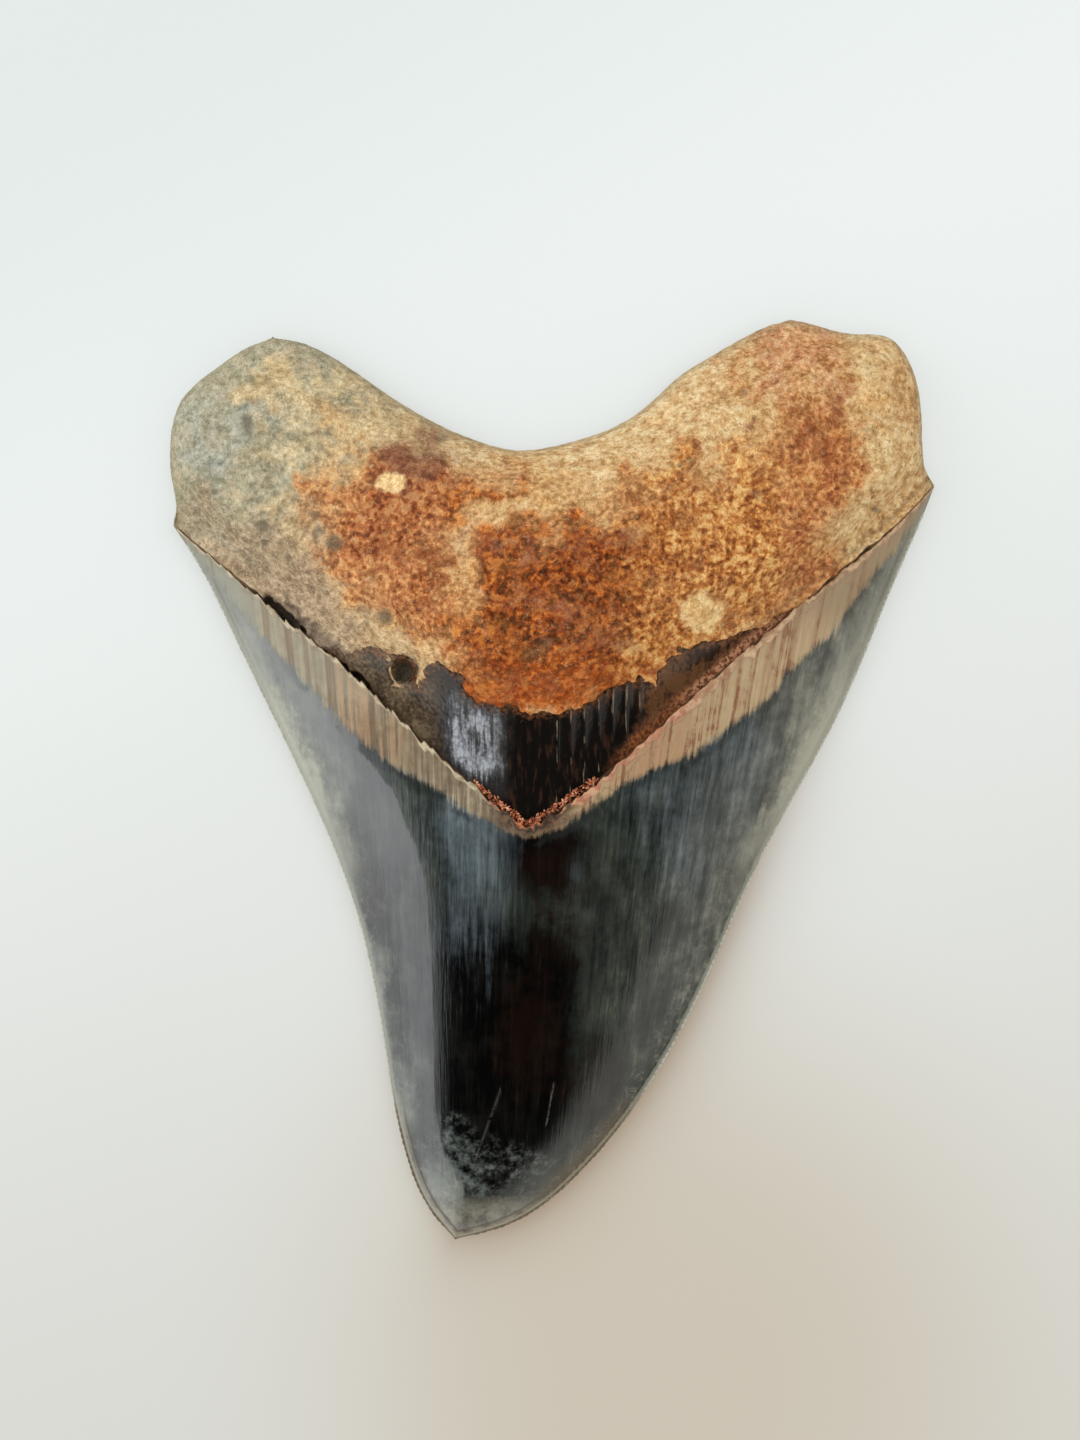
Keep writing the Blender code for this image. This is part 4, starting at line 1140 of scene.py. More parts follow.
# %% Bourlette slab
SKIN_COLUMNS = 290
SKIN_ROWS = 100
SKIN_ACROSS = (0.15, 0.87)  # the part of the root's patch that the slab covers
SKIN_DOWN = (0.6, 1.0)
SKIN_THICK = 0.8
# Where a bluish highlight is painted into the skin's colour, as ovals.
PAINTED_SHEEN = [
    (-12.8, 10.5, 1.4, 2.6, 0.55), (-9.8, 8.2, 2.2, 1.6, 0.9), (-12.6, 5.6, 2, 2, 0.5),
    (-8.9, 2.2, 2.6, 1.6, 1), (-12, 3.6, 1.8, 1, 0.8), (-6.9, 6.5, 0.9, 3, 0.5), (-8, 4.8, 1.2, 1, 0.6),
    (-10.6, 5.2, 2.6, 2.4, 0.6)]
RIBBED = (-6.6, 12.4)  # the ribs stand between these two places, from left to right


def skin_slab():
    across = np.linspace(*SKIN_ACROSS, SKIN_COLUMNS)
    down = np.linspace(*SKIN_DOWN, SKIN_ROWS)
    whole = np.append(np.append(0.0, across), 1.0)
    points = root_patch(enamel_edge(whole), whole, down)[:, 1:-1]
    u, v = np.meshgrid(across, down)
    rim = from_rim(points)
    v_distance = from_v(points)
    smooth = neck_surface(points, u, v, v_distance)
    covered = smoothstep(0.5, 1.6, ragged_neck(points))
    smooth = smooth - SKIN_LOW - 1.2 * covered
    top = onto_rim(cracked(smooth, points, u, v_distance), points, v_distance, rim)
    top = with_tuck(points, top, across, 0.3)
    below = top - (0.0, 0.0, SKIN_THICK)
    neck = longer(above(NECK, points))
    crack = longer(crack_share(points, u, v_distance)[0])
    x = top[..., 0]
    clear = smoothstep(0.15, 1.2, longer(v_distance)) * smoothstep(1.6, 0.2, neck)
    ribbed = smoothstep(RIBBED[0] - 1.5, RIBBED[0] + 0.5, x) * smoothstep(RIBBED[1] + 1.0, RIBBED[1] - 1.0, x)
    wrinkled = smoothstep(-22.0, -17.0, x) * smoothstep(-4.5, -6.5, x)
    hole = np.exp(-((hole_distance(top[..., :2]) / HOLE_WIDE) ** 4))
    facts = {"neck": (neck, neck), "crack": (crack, crack), "ledge": (longer(v_distance), longer(v_distance)),
             "hole": (hole, hole), "sheen": (soft_spots(top[..., :2], PAINTED_SHEEN),) * 2,
             "ribbed": (ribbed * clear, ribbed * 0), "wrinkled": (wrinkled * clear, wrinkled * 0)}
    return closed_shell("bourlette", top, below, facts, ["first_row", "last_row", "left", "right"])


bourlette = skin_slab()

# %% Bourlette finish
def skin_finish():
    look = new_finish("bourlette_skin", {"IOR": 1.5, "Specular IOR Level": 0.32})
    nodes, place, fact, x = look.nodes, look.place, look.fact, look.x
    along = nodes.scaled(place, (1.0, 0.22, 0.22))
    streak = nodes.noise(along, 0.8, 3.0, 0.6)
    cloud = nodes.noise(place, 3.2, 4.0, 0.6)
    fine = nodes.noise(place, 0.5, 2.0, 0.6)
    shift = x + cloud * 5.0
    brown = nodes.ramp((cloud + fine) * 0.8, [(0.3, (46, 36, 25)), (0.5, (72, 58, 42)), (0.7, (106, 90, 68))])
    colour = nodes.mix(shift.step(-18.5, -12.5), brown, (42, 38, 36))
    lines = nodes.noise(nodes.scaled(place, (1.0, 0.12, 0.12)), 0.55, 2.0, 0.6)
    highlight_patch = shift.step(-15.6, -13.6) * (shift + lines * 5).step(-4.4, -8.0)
    # The patch on the left is finely crackled, and its bluish gloss is a painted highlight.
    painted_highlight = (fact("sheen") + lines * 1.7 + cloud * 0.9 + fine * 0.6).step(0.10, 1.1)
    bent = nodes.node("ShaderNodeTexNoise", inputs={"Vector": place, "Scale": 0.9, "Detail": 3.0}, out=1)
    bent = nodes.moved(place, nodes.scaled(bent, (2.2, 1.6, 0.0)))
    fold_edge = nodes.cells(nodes.scaled(bent, (1.0, 0.55, 0.0)), 0.75, "DISTANCE_TO_EDGE")
    net = fold_edge.step(0.16, 0.02)
    highlight_shades = [(0.0, (38, 36, 36)), (0.5, (80, 81, 84)), (1.0, (160, 164, 170))]
    colour.lay(highlight_patch * 0.9, nodes.ramp(painted_highlight - 0.5, highlight_shades))
    colour.lay(net * highlight_patch * 0.38, (42, 38, 38))
    colour.lay(shift.step(-8.5, -4.5), (15, 12, 10))
    right_brown = (cloud + streak * 0.9 + fine * 0.4).step(-0.14, 0.14)
    colour.lay(shift.step(10.5, 13.5), nodes.mix(right_brown, (40, 25, 15), (90, 60, 36)))
    colour.lay(streak.step(0.0, 0.18) * 0.45 * shift.step(-9.0, -5.0), (70, 42, 28))
    # Painted glints: pale broken lines along the rib crests stand in for their highlights.
    painted_rib_glints = fact("rib") + nodes.noise(nodes.scaled(place, (1.0, 0.45, 0.45)), 1.6, 3.0) * 1.7
    colour.lay(painted_rib_glints.step(0.85, 1.15) * 0.65, (138, 124, 104))
    residue = (fact("ledge") + cloud * 4 + fine * 1.5).step(2.4, 1.0) * x.step(6, 11) * x.step(22, 17)
    colour.lay(residue * 0.8, nodes.mix(fine.step(-0.1, 0.1), (84, 40, 12), (142, 82, 34)))
    beside = (fact("ledge") + fine * 0.8 + cloud * 1.2).step(1.8, 0.8) * x.step(15.0, 21.0)
    colour.lay(beside * 0.85, nodes.mix(fine.step(-0.1, 0.1), (104, 60, 40), (188, 138, 104)))
    near_bone = (fact("neck") + fine * 2.4 + cloud * 1.4).step(-0.7, 0.5)
    colour.lay(near_bone * 0.55, nodes.ramp(fine, [(0.38, (50, 32, 20)), (0.62, (120, 74, 42))]))
    # Painted shade inside the nerve hole.
    colour.lay(fact("hole").step(0.2, 0.8) * 0.9, (46, 44, 37))
    # The crack's floor is brown, with painted shade near black on its left, where it is widest.
    colour.lay(fact("crack").step(0.2, 0.75) * 0.9,
               nodes.mix(x.step(-23.5, -26.0), (92, 70, 50), (48, 37, 28)))
    rough = 0.24 + fine * 0.12 + residue * 0.35 + fact("crack") * 0.4
    height = streak * 0.5 + fine * 0.3 + (net * 0.12 + lines * 0.3 + 0.15) * highlight_patch
    return wire_finish(look, colour, rough, height, 0.12)


bourlette_skin = skin_finish()
print("bourlette finish:", len(bourlette_skin.node_tree.nodes), "nodes")

# %% Ribs and wrinkles
def ribs_tree(sizes):
    nodes, mesh, size = geometry_tree("ribs", sizes)
    place = in_millimetres(nodes)
    x = nodes.part(place, 0)
    sway = nodes.noise(nodes.scaled(place, (1.0, 0.35, 1.0)), 3.0, 2.0) * 0.4

    def ribs(pitch, sharp):
        wave = nodes.node("ShaderNodeMath", {"operation": "SINE"}, {0: (x + sway) / pitch * (2 * math.pi)})
        return (wave * 0.5 + 0.5) ** sharp

    coarse = x.step(-2.5, -0.5)
    rib = ribs(size["Rib Pitch"], 4.0) * coarse + ribs(size["Fine Pitch"], 2.0) * (1 - coarse) * 0.5
    uneven = nodes.noise(nodes.scaled(place, (1.0, 0.3, 0.3)), 1.4, 2.0) + 1.0
    rib = rib * uneven * named(nodes, "ribbed")
    folds = nodes.noise(nodes.scaled(place, (1.0, 0.7, 0.7)), size["Wrinkle Size"], 2.0, 0.55, 0.9)
    fold = (1 - abs(folds).step(0.0, 0.11)) * named(nodes, "wrinkled")
    kept = nodes.node("GeometryNodeStoreNamedAttribute", {"data_type": "FLOAT", "domain": "POINT"},
                      {"Geometry": mesh, "Name": "rib", "Value": rib})
    height = rib * size["Rib Height"] + (fold - 0.3 * named(nodes, "wrinkled")) * size["Wrinkle Height"]
    return finish_tree(nodes, pushed_out(nodes, kept, height * MM), bourlette_skin)


RIBS = {"Rib Pitch": 1.85, "Rib Height": 0.2, "Fine Pitch": 1.05, "Wrinkle Size": 1.1, "Wrinkle Height": 0.09}
grow(bourlette, ribs_tree(RIBS), RIBS)

# %% [markdown]
# ## The enamel crown
#
# The enamel is a hard shell a few tenths of a millimetre to over a millimetre thick. It starts in a broken
# step, so the upper sheet here begins with a small upright wall. Its colour runs in growth streaks that
# draw together far below the tip. Coordinates that follow them are stored on the mesh as the attribute
# `grain`, and the streaks are noise stretched along these.

# %% Crown tables
CORE = [
    (-11.5, -34, 4.6, 12, 1), (-3.5, -35, 5.6, 11, 1), (-8, -47, 5.5, 6.5, 0.95),
    (-3.5, -44, 4.2, 6.5, 0.9), (-1, -12, 4.6, 3.4, 0.6), (-14, -20, 3, 8, 0.3), (0, -25, 4, 6, 0.5),
    (-10, -25, 4, 5, 0.5), (-14.6, -38, 2.2, 9, 1), (-14, -29, 2, 5, 0.7), (-10.5, -55, 3.6, 3.4, 0.9),
    (-4.5, -8.8, 3.4, 2, 0.6), (2.5, -8, 5, 2.6, 0.4)]
# Teal streaks. The ovals below the V's left also paint a bluish highlight into the enamel.
TEAL_AND_HIGHLIGHT = [
    (-10, -8, 4.4, 5.5, 0.8), (-10.5, -5, 2.4, 1.8, 0.8), (-8.5, -16, 2.8, 6, 0.45),
    (-12.5, -12, 2.6, 6.5, 0.4), (-8.6, -28, 0.5, 5, 0.25), (-15.5, -4, 3, 4, 0.35),
    (-13.6, -21, 2.6, 4, 0.45), (3.2, -12, 1.2, 1.8, 0.5), (9.1, 0.3, 10.7, 2.7, 0.4),
    (22.9, 5.6, 6.8, 4.1, 0.6), (27.5, -2, 3, 8, 0.45), (16.5, -5, 7, 6, 0.5), (19, -13, 4, 5, 0.4)]
SAGE = [
    (43.3, 19.6, 7, 8.4, 0.65), (37.6, 8.4, 5.6, 8.4, 0.9), (30.5, -2.8, 4.9, 8.4, 0.45),
    (25, -14, 4.2, 8.4, 0.5), (19.3, -25.2, 4.2, 8.4, 0.45), (13.5, -37, 3.4, 6, 0.16),
    (6.4, -49, 4, 4, 0.12), (-9.9, -57, 7, 2.6, 0.4), (-42.4, 16.8, 3.5, 7, 0.9),
    (-35.4, 2.7, 3.1, 8.4, 0.7), (-33.5, 9.5, 3.6, 6, 0.6), (-30, 0, 3, 6, 0.35),
    (-29.8, -14.2, 2.8, 9.9, 0.6), (-24.9, -31.1, 2.3, 9.9, 0.6), (-21.3, -45.1, 2.3, 8.4, 0.5),
    (-15.6, -57.5, 5.6, 4.2, 0.6)]
BROWN = [
    (-3.5, -35, 5.5, 9.5, 0.9), (1, -20, 4, 6, 0.6), (-1.6, -11.8, 4, 3.8, 0.8), (6.5, -16, 4.1, 8.1, 0.35),
    (1.1, -9.1, 4, 4, 0.5), (12.1, -21.8, 4.1, 6.9, 0.3), (7, -42, 5, 7.5, 0.95)]
FROST = [
    (-14, -52, 2.6, 4.5, 0.9), (-12, -56.5, 3.4, 2, 0.9), (-9, -53, 3.4, 3, 0.5),
    (-3.5, -54, 3.4, 2.2, 0.7), (-19.8, -42, 1.4, 4, 0.5)]
LEDGE_CHIP = [
    (0, 0.2), (0.1, 0.8), (0.3, 0.9), (0.42, 0.5), (0.47, 0.8), (0.53, 0.8), (0.58, 0.4), (0.8, 0.45),
    (1, 0.2)]
SCRATCHES = [((-7.0, -42.3), (-10.6, -52.6)), ((0.3, -41.6), (-0.7, -47.7))]
print(len(CORE) + len(TEAL_AND_HIGHLIGHT) + len(SAGE) + len(BROWN), "tints on the enamel")

# %% Broken edge and growth streaks
CROWN_COLUMNS = 400
CROWN_ROWS = 116
# The enamel's broken edge as rows: each one's place down the crown, and how far below the surface it lies.
# The first reaches down past the bottom of the crack.
LEDGE_ROWS = [(0.0, 3.2), (0.0, 0.45), (0.0014, 0.14), (0.0032, 0.03)]
CHIP_REACH = 5.0  # chips in that edge fade out over this length
LIP_HIGH = 0.2  # its outermost layer stands this proud
GROWTH_POINT = (-14.0, -250.0)  # the growth streaks run towards this place, well below the tip


def chipped(points, across, down_length):
    """Moves the enamel's upper edge in and out, so that it looks broken, and leaves the rest alone."""
    first = points[0]
    chip = lookup(LEDGE_CHIP, across) * (1.4 * lumps(first, 1.7, 2.2) + 0.9 * lumps(first, 0.7, 6.1))
    chip *= off_shoulders(across, 25)
    toward = points[12] - first
    toward /= np.maximum(np.linalg.norm(toward, axis=-1), 1e-6)[:, None]
    reach = np.clip(1 - down_length / CHIP_REACH, 0.0, 1.0)
    return points + toward[None] * (chip[None] * reach)[..., None]


def streak_place(points, side):
    """Coordinates whose first number stays the same along a growth streak."""
    x, y = points[..., 0], points[..., 1]
    reach = -GROWTH_POINT[1]
    across = (x - GROWTH_POINT[0]) / (y - GROWTH_POINT[1]) * reach
    return np.dstack([across, y, np.full_like(x, side * 50.0)])


# %% Crown shell
def crown_shell():
    across = spread(CROWN_COLUMNS, 0.3, 0.3)
    rows = spread(CROWN_ROWS - len(LEDGE_ROWS), 0.10, 0.35)
    down = np.append([place for place, drop in LEDGE_ROWS], rows[1:] * 0.996 + 0.004)
    point = np.repeat([TIP], len(across), axis=0)
    left, right = spline(BLADE_LEFT, down), spline(BLADE_RIGHT, down)
    inner = patch(enamel_edge(across), point, left, right, across, down)
    outer = patch(outer_line(across), point, left, right, across, down)
    from_ledge = np.append(np.zeros((1, len(across))),
                           np.cumsum(np.linalg.norm(np.diff(inner, axis=0), axis=-1), axis=0), axis=0)
    inner = chipped(inner, across, from_ledge)
    x, y = inner[..., 0], inner[..., 1]
    far = np.full_like(x, FAR)
    rim = from_rim(inner)
    outer_rim = from_rim(outer)
    low = lookup(BLADE_HEIGHT, y)
    bevel = 0.12 * np.exp(-(((rim - 1.1) / 0.45) ** 2)) * smoothstep(2.0, 8.0, from_ledge)
    inside = off_shoulders(across)
    layers = from_ledge + 0.9 * lumps(inner, 1.5, 4.4) + 0.5 * lumps(inner, 0.6, 1.4)
    lip = LIP_HIGH * (smoothstep(1.05, 0.75, layers) + 0.5 * smoothstep(2.1, 1.8, layers)) - 0.25
    lip = (lip * smoothstep(12.0, 5.0, from_ledge)) * inside[None]
    top = low + (crown_top(x, y) - low) * (1 - 0.3 * np.exp(-rim / 2.0)) - bevel + lip
    under = under_side(outer, beyond_v(outer), outer_rim)
    for row, (place, drop) in enumerate(LEDGE_ROWS):
        top[row] -= drop * inside
    level = edge_level(inner, beyond_v(inner))[0]
    for sheet in (top, under):
        sheet[:, 0], sheet[:, -1], sheet[-1] = level[:, 0], level[:, -1], level[-1, 0]
    under[0] += TUCK_DROP * inside
    sheets = np.dstack([inner, top]), np.dstack([outer, under])

    facts = read_on(sheets, {"core": CORE, "teal": TEAL_AND_HIGHLIGHT, "sage": SAGE, "brown": BROWN, "frost": FROST})
    facts["core"][1] *= 0.6
    flank = np.array(FLANK)[::-1]
    scratch = [np.exp(-((distance_to(np.array(line, float), inner) / 0.09) ** 2)) for line in SCRATCHES]
    facts |= {"grain": (streak_place(inner, 0), streak_place(outer, 1)),
              "flank": (x - np.interp(y, flank[:, 1], flank[:, 0]), far),
              "ledge": (from_ledge, np.maximum(outer_line(across)[None, :, 1] - outer[..., 1], 0.0)),
              "layers": (layers, far), "band": (above(BAND, inner), -far), "blade": (rim, outer_rim),
              "left": [1 - smoothstep(-6.0, 2.0, sheet[..., 0]) for sheet in (inner, outer)],
              "scratch": (sum(scratch), 0 * x)}
    return closed_shell("enamel_crown", *sheets, facts, ["first_row"])


crown = crown_shell()

# %% The enamel's noises
def enamel_look():
    """What the layers of the enamel's finish share. Four noises are drawn out along the growth streaks."""
    look = new_finish("enamel", {"IOR": 1.55})
    nodes, place = look.nodes, look.place
    look.left, look.blade = nodes.attribute("left"), nodes.attribute("blade")
    grain = nodes.attribute("grain", "Vector")
    look.streak = nodes.noise(nodes.scaled(grain, (1.0, 0.10, 1.0)), 1.5, 4.0, 0.68)
    look.hair = nodes.noise(nodes.scaled(grain, (1.0, 0.06, 1.0)), 0.5, 3.0, 0.7)
    look.wisp = nodes.noise(nodes.scaled(grain, (1.0, 0.30, 1.0)), 2.6, 4.0, 0.66)
    look.rib = nodes.noise(nodes.scaled(grain, (1.0, 0.02, 1.0)), 0.8, 2.0, 0.5)
    look.cloud = nodes.noise(place, 5.5, 4.0, 0.62)
    look.mottle = nodes.noise(place, 1.8, 4.0, 0.68)
    look.speck = nodes.noise(place, 0.6, 2.0, 0.65)
    look.mixed = (look.streak * 0.42 + look.wisp * 0.55 + look.hair * 0.34 + look.cloud * 0.5
                  + look.mottle * 0.2)
    look.striped = look.rib * 0.8 + look.hair * 0.9 + look.mottle * 0.6 + look.cloud * 0.5
    return look


glaze = enamel_look()
print("enamel noises:", len(glaze.nodes.tree.nodes), "nodes")

# %% Tints of the crown
def crown_tints(look):
    """Sage at the sides, a black core, teal and brown streaks, and the grey left flank.
    Below the V a bluish highlight is painted in, and the flank's grey is partly a painted reflection.
    """
    wander = look.streak * 0.5 + look.wisp * 0.6 + look.mottle * 0.5 + look.cloud * 0.6
    greys = [(0.3, (18, 22, 20)), (0.46, (38, 43, 39)), (0.6, (58, 62, 56)), (0.74, (88, 92, 84))]
    colour = look.ramp(look.mixed, greys)
    sage = look.ramp(look.mixed, [(0.30, (80, 83, 75)), (0.5, (114, 116, 105)), (0.72, (142, 143, 129))])
    colour.lay((look.fact("sage") + wander).step(0.15, 1.05) * 0.95, sage)
    colour.lay((look.fact("core") + wander).step(0.2, 0.6),
               look.ramp(look.mixed, [(0.45, (2, 2, 2)), (0.75, (20, 19, 17))]))
    # Teal streaks, with a painted bluish highlight below the V's left.
    teal = (look.fact("teal") + look.streak * 0.8 + look.hair * 0.7 + look.mottle * 0.4).step(0.10, 1.0)
    colour.lay(teal * 0.7, look.ramp(look.mixed, [(0.35, (58, 66, 70)), (0.65, (102, 114, 121))]))
    brown = (look.fact("brown") + look.mottle * 1.2 + look.streak * 0.6).step(0.35, 0.95)
    colour.lay(brown * 0.55, (26, 12, 5))
    # The left flank's grey is partly the enamel's own and partly a painted reflection of the bright walls,
    # sharp against the black core and lighter towards the top.
    flank = (look.fact("flank") + look.hair * 1.5 + look.streak * 1.6 + look.wisp * 1.2).step(0.15, -0.35)
    flank_grey_and_painted_reflection = look.ramp(look.mixed, [(0.30, (58, 58, 59)), (0.5, (70, 70, 71)), (0.72, (86, 86, 84))])
    flank_grey_and_painted_reflection.lay((look.fact("sage") + look.cloud * 0.8).step(0.1, 0.8) * 0.9,
                     look.ramp(look.mixed, [(0.3, (98, 103, 99)), (0.7, (142, 144, 135))]))
    flank_grey_and_painted_reflection.lay((look.y + look.cloud * 8).step(-18, -4) * 0.4, (106, 107, 108))
    colour.lay(flank, flank_grey_and_painted_reflection)
    return colour


# %% Worn tip and blade
def lay_wear(look, colour):
    """Lays frost and chips on the tip and pale worn lines along the blade. Gives the frost and the edge."""
    flecked = look.nodes.noise(look.place, 1.1, 3.0, 0.7)
    frost = (flecked * 0.45 + look.mottle + look.speck * 0.35 + look.fact("frost") * 0.24).step(0.0, 0.4)
    frost = frost * look.fact("frost").step(0.05, 0.4)
    colour.lay(frost * 0.75, look.ramp(look.mottle, [(0.35, (60, 66, 64)), (0.65, (100, 107, 102))]))
    colour.lay((look.y + look.mottle * 7 + look.speck * 3).step(-57, -60) * 0.75,
               look.ramp(look.mottle, [(0.35, (84, 83, 76)), (0.6, (136, 133, 120))]))
    flecks = (look.mottle + look.speck * 0.6).step(0.04, 0.18) * look.blade.step(5.0, 0.5)
    colour.lay(flecks * 0.4, (132, 133, 124))
    light_edge = (look.blade + look.mottle * 6 + look.streak * 5).step(4.3, 0.9) * look.y.step(-18, 2)
    colour.lay(light_edge * (0.78 - look.y.step(10, 18) * 0.43), (166, 166, 150))
    edge = (look.blade + look.speck * 0.5).step(1.0, 0.4)
    low_end = look.y.step(-42, -50)
    colour.lay((look.blade + look.mottle * 3).step(3.8, 0.9) * low_end * (1 - look.left) * 0.6, (92, 82, 64))
    colour.lay(edge * 0.7, look.mix(low_end, (142, 143, 130), (150, 141, 120)))
    groove = abs(look.blade - 1.25 + look.speck * 0.3).step(0.32, 0.05) + look.blade.step(0.45, 0.2)
    colour.lay(groove * low_end * 0.75, (72, 62, 50))
    return frost, edge


# %% Colours of the tan band
def tan_on_left(look):
    """Grey tan, paler at its upper end and browner halfway down."""
    left_tan = look.ramp(look.striped, [(0.3, (84, 70, 50)), (0.5, (120, 106, 83)), (0.7, (158, 144, 119))])
    top_left = (look.y + look.mottle * 4).step(6, 16)
    left_tan.lay(top_left * 0.6, (150, 142, 122))
    lower_left = (look.y + look.mottle * 5).step(12, 6) * (look.y + look.mottle * 5).step(-1, 3)
    left_tan.lay(lower_left * 0.5, (102, 84, 60))
    left_tan.lay((look.x + look.mottle * 3).step(-39, -44) * 0.8, (138, 138, 124))
    stained = abs(look.x + 25 + look.mottle * 4).step(7, 3)
    left_tan.lay(stained * (look.rib + look.hair * 0.6).step(-0.06, 0.10) * 0.4, (166, 124, 84))
    return left_tan


def tan_on_right(look, stained):
    """Warm tan, greyer at its upper end, with rusty stripes where it is stained."""
    tans = [(0.3, (134, 90, 60)), (0.45, (172, 145, 109)), (0.62, (174, 154, 118)), (0.75, (190, 160, 126))]
    right_tan = look.ramp(look.striped + look.streak * 0.4, tans)
    right_tan.lay((look.y + look.mottle * 8).step(18, 26) * 0.7, (138, 119, 92))
    right_tan.lay(stained * (look.striped + look.streak * 0.6).step(-0.12, 0.10) * 0.42, (156, 92, 54))
    right_tan.lay(abs(look.x - 5.5).step(5.0, 2.0) * look.mottle.step(0.0, 0.10) * 0.5, (96, 74, 50))
    return right_tan


# %% The tan band
def lay_band(look, colour):
    """Lays the finely striped tan band along the top. Gives its share, and that of its dark middle."""
    band_place = look.fact("band") + look.rib * 1.2 + look.hair * 1.6 + look.mottle * 1.2 + look.cloud * 1.6
    stained = abs(look.x - 13.5 + look.mottle * 6).step(8.0, 3.0)
    tan = look.mix(look.left, tan_on_right(look, stained), tan_on_left(look))
    stripes = look.rib.step(0.0, -0.14) * (look.left * 0.5 + (1 - look.left) * (0.28 + stained * 0.3))
    tan.lay(stripes, look.mix(look.left, (134, 96, 66), (112, 84, 56)))
    band = band_place.step(-0.55, 0.60)
    colour.lay(band * 0.97, tan)
    dark_dots = abs(look.x + 24.2 + look.mottle * 4).step(2.8, 1.4) * abs(band_place + 0.9).step(1.0, 0.4)
    colour.lay(dark_dots * 0.85, (20, 22, 24))
    under_line = abs(band_place + 0.8).step(0.9, 0.1) * look.cloud.step(-0.02, 0.1) * look.blade.step(4, 7)
    colour.lay(under_line * 0.65, (34, 36, 38))
    middle = abs(look.x + 3.0 + look.mottle * 5).step(7.5, 3.5)
    colour.lay(middle * band * 0.85, look.mix(look.mottle.step(-0.08, 0.08), (50, 34, 24), (98, 73, 49)))
    return band, middle


# %% The enamel's broken edge
def lay_broken_edge(look, colour, band, middle):
    """Lays the layers that show where the enamel breaks off, its pale lip and the wall below."""
    layers = look.fact("layers")
    layered = abs(look.x - 25).step(10, 6)
    seam = abs(layers - 0.95 - layered * 0.6).step(0.22, 0.04) + abs(layers - 2.0).step(0.2, 0.04) * 0.5
    colour.lay(seam * band * 0.6, look.mix(look.left, (128, 66, 44), (104, 86, 66)))
    lip = (layers + middle * 0.9 - layered * 0.6).step(1.25, 0.85)
    lip = lip * (look.left + look.cloud * 3 + middle).step(-0.65, -0.1)
    dabs = look.mottle.step(-0.1, 0.1)
    lip_colour = look.mix(look.left, look.mix(dabs, (176, 108, 82), (204, 160, 128)),
                          look.mix(dabs, (146, 128, 102), (192, 178, 148)))
    lip_colour.lay(look.x.step(15, 24), look.mix(dabs, (156, 116, 86), (206, 176, 142)))
    lip_colour.lay(middle, look.mix(look.speck.step(-0.1, 0.1), (140, 62, 36), (206, 122, 72)))
    colour.lay(lip * band * 0.8, lip_colour)
    dark_seam = abs(layers - 0.75).step(0.35, 0.1) * middle
    colour.lay(dark_seam * band * 0.8, (58, 38, 26))
    wall = look.fact("ledge").step(0.12, 0.02)
    colour.lay(wall * 0.6, look.mix(look.left, (112, 66, 46), (124, 100, 76)))
    colour.lay(look.fact("scratch") * look.speck.step(-0.2, 0.05) * 0.4, (112, 108, 100))


# %% Enamel finish
def enamel_finish(look):
    colour = crown_tints(look)
    frost, edge = lay_wear(look, colour)
    band, middle = lay_band(look, colour)
    lay_broken_edge(look, colour, band, middle)
    rough = 0.15 + band * 0.33 + frost * 0.15 + look.hair * 0.10 + edge * 0.15
    height = look.streak * 0.35 + look.hair * 0.25 + band * (look.rib * 1.4 + 0.7)
    height = height - look.fact("scratch") * 0.3
    return wire_finish(look, colour, rough, height, 0.10)


enamel = enamel_finish(glaze)
crown.data.materials.append(enamel)
print("enamel finish:", len(enamel.node_tree.nodes), "nodes")

# %% [markdown]
# ## The cutting edges
#
# A megalodon's cutting edges are fine saws. These are worn, and their teeth are a millimetre apart and a
# quarter of a millimetre high. One small flattened bead stands for a tooth. A tree walks along each edge
# and sets a bead at every step, each a little different.

# %% Worn edge finish
def worn_edge_finish():
    look = new_finish("worn_edge", {"IOR": 1.5})
    mottle = look.nodes.noise(look.place, 2.4, 3.0, 0.65)
    speck = look.nodes.noise(look.place, 0.5, 2.0, 0.6)
    colour = look.mix((look.y + mottle * 12).step(-40, -50), (172, 173, 162), (96, 86, 70))
    colour.lay((mottle + speck * 0.4).step(-0.02, 0.16) * 0.5, (132, 132, 122))
    return wire_finish(look, colour, 0.42 + speck * 0.2, speck, 0.04)


worn_edge = worn_edge_finish()


# %% Saw teeth
def path_piece(name, points):
    """A mesh that is only a line of joined points, in millimetres, for a tree to walk along."""
    mesh = bpy.data.meshes.new(name)
    places = (np.asarray(points) + (*ORIGIN, 0.0)) * MM
    mesh.from_pydata(places.tolist(), [(i, i + 1) for i in range(len(places) - 1)], [])
    return show(name, mesh)


def saw_tree(sizes):
    nodes, mesh, size = geometry_tree("saw_teeth", sizes)
    walk = walk_along(nodes, mesh, size["Pitch"])
    turn = Value(nodes, walk.socket.node.outputs["Rotation"])
    bead = nodes.node("GeometryNodeMeshUVSphere", inputs={"Segments": 8, "Rings": 5, "Radius": 0.5})
    jitter = random_number(nodes, 0.75, 1.15, 4)
    wide = size["Tooth Height"] * jitter
    scale = nodes.node("ShaderNodeCombineXYZ", inputs={0: wide, 1: wide, 2: size["Tooth Length"] * jitter})
    return finish_tree(nodes, set_on(nodes, walk, bead, turn, scale), worn_edge)


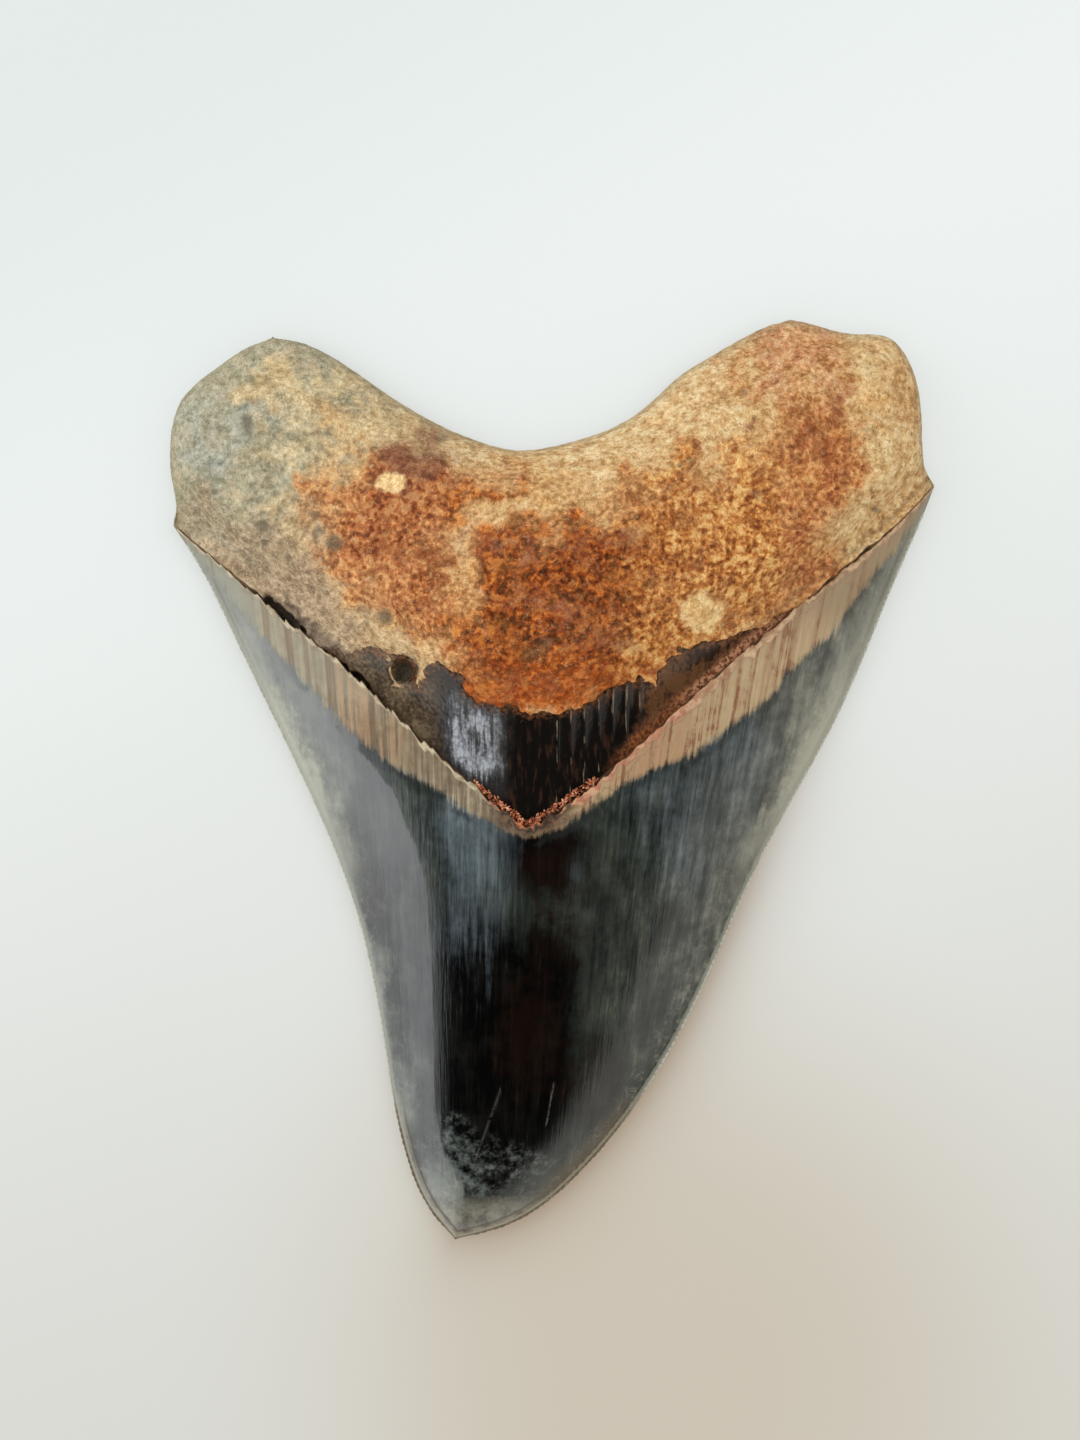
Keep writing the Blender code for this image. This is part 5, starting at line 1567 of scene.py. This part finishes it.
def saw_edge(name, curve, outward):
    """Teeth along one cutting edge, from just below the shoulder to just above the tip."""
    line = spline(curve, np.linspace(*SAW_REACH, 300))
    across = np.gradient(line, axis=0)
    across = np.stack([-across[:, 1], across[:, 0]], axis=-1) / np.linalg.norm(across, axis=-1)[:, None]
    line = line - across * outward * SAW_SUNK
    return path_piece(name, np.column_stack([line, lookup(BLADE_HEIGHT, line[:, 1])]))


SAW_REACH = (0.035, 0.975)  # as shares of the cutting edge
SAW_SUNK = 0.14  # the beads' middles lie this far inside the outline
SAW = {"Pitch": 0.92 * MM, "Tooth Length": 1.05 * MM, "Tooth Height": 0.46 * MM}
teeth_tree = saw_tree(SAW)
left_saw = grow(saw_edge("left_saw_teeth", BLADE_LEFT, -1), teeth_tree, SAW)
right_saw = grow(saw_edge("right_saw_teeth", BLADE_RIGHT, 1), teeth_tree, SAW)

# %% [markdown]
# ## Crumbs on the enamel's edge
#
# Iron-stained crumbs of bone still stick to the broken edge of the enamel, most of them round the point of
# the V. They are small lumps scattered along that edge, made from one rough ball of twenty faces.

# %% Crumb finish
def crumb_finish():
    look = new_finish("iron_crumbs", {"IOR": 1.5, "Specular IOR Level": 0.25})
    grain = look.nodes.noise(look.place, 0.8, 3.0, 0.65)
    colour = look.ramp(grain, [(0.36, (98, 46, 30)), (0.5, (166, 94, 62)), (0.64, (214, 158, 124))])
    return wire_finish(look, colour, 0.7 + grain * 0.2, grain, 0.1)


iron_crumbs = crumb_finish()


# %% Crumbs
def crumb_tree(sizes):
    nodes, mesh, size = geometry_tree("crumbs", sizes)
    walk = walk_along(nodes, mesh, size["Pitch"])
    shift = nodes.longer(random_vector(nodes, (-1.0, -1.0, -0.6), (1.0, 1.0, 0.1), 11), size["Scatter"])
    spread_out = nodes.node("GeometryNodeSetPosition", inputs={"Geometry": walk, "Offset": shift})
    ball = nodes.node("GeometryNodeMeshIcoSphere", inputs={"Radius": 0.5, "Subdivisions": 1})
    turn = random_vector(nodes, (0.0, 0.0, 0.0), (6.28, 6.28, 6.28), 12)
    big = random_number(nodes, size["Smallest"], size["Largest"], 13)
    shape = nodes.longer(random_vector(nodes, (0.7, 0.6, 0.3), (1.3, 1.0, 0.5), 14), big)
    return finish_tree(nodes, set_on(nodes, spread_out, ball, turn, shape), iron_crumbs)


def ledge_path(first, last, drop):
    """The enamel's upper edge between two shares of the V, a little below its surface."""
    line = enamel_edge(np.linspace(first, last, 120)) + (0.0, 0.55)
    return np.column_stack([line, crown_top(line[:, 0], line[:, 1]) - drop])


CRUMBS_FROM, CRUMBS_TO = 0.43, 0.575  # as shares of the V
CRUMBS_SUNK = 0.25
CRUMBS = {"Pitch": 0.06 * MM, "Smallest": 0.22 * MM, "Largest": 0.66 * MM, "Scatter": 0.38 * MM}
crumb_line = path_piece("ledge_crumbs", ledge_path(CRUMBS_FROM, CRUMBS_TO, CRUMBS_SUNK))
crumbs = grow(crumb_line, crumb_tree(CRUMBS), CRUMBS)

# %% [markdown]
# ## Putting it together
#
# All the pieces grew as one tooth, so they ride on the one body and stand for the one solid of the measured
# frame.

# %% Join and finish
for piece in (root, bourlette, crown, left_saw, right_saw, crumbs):
    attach(piece, "root")
    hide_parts("tooth")
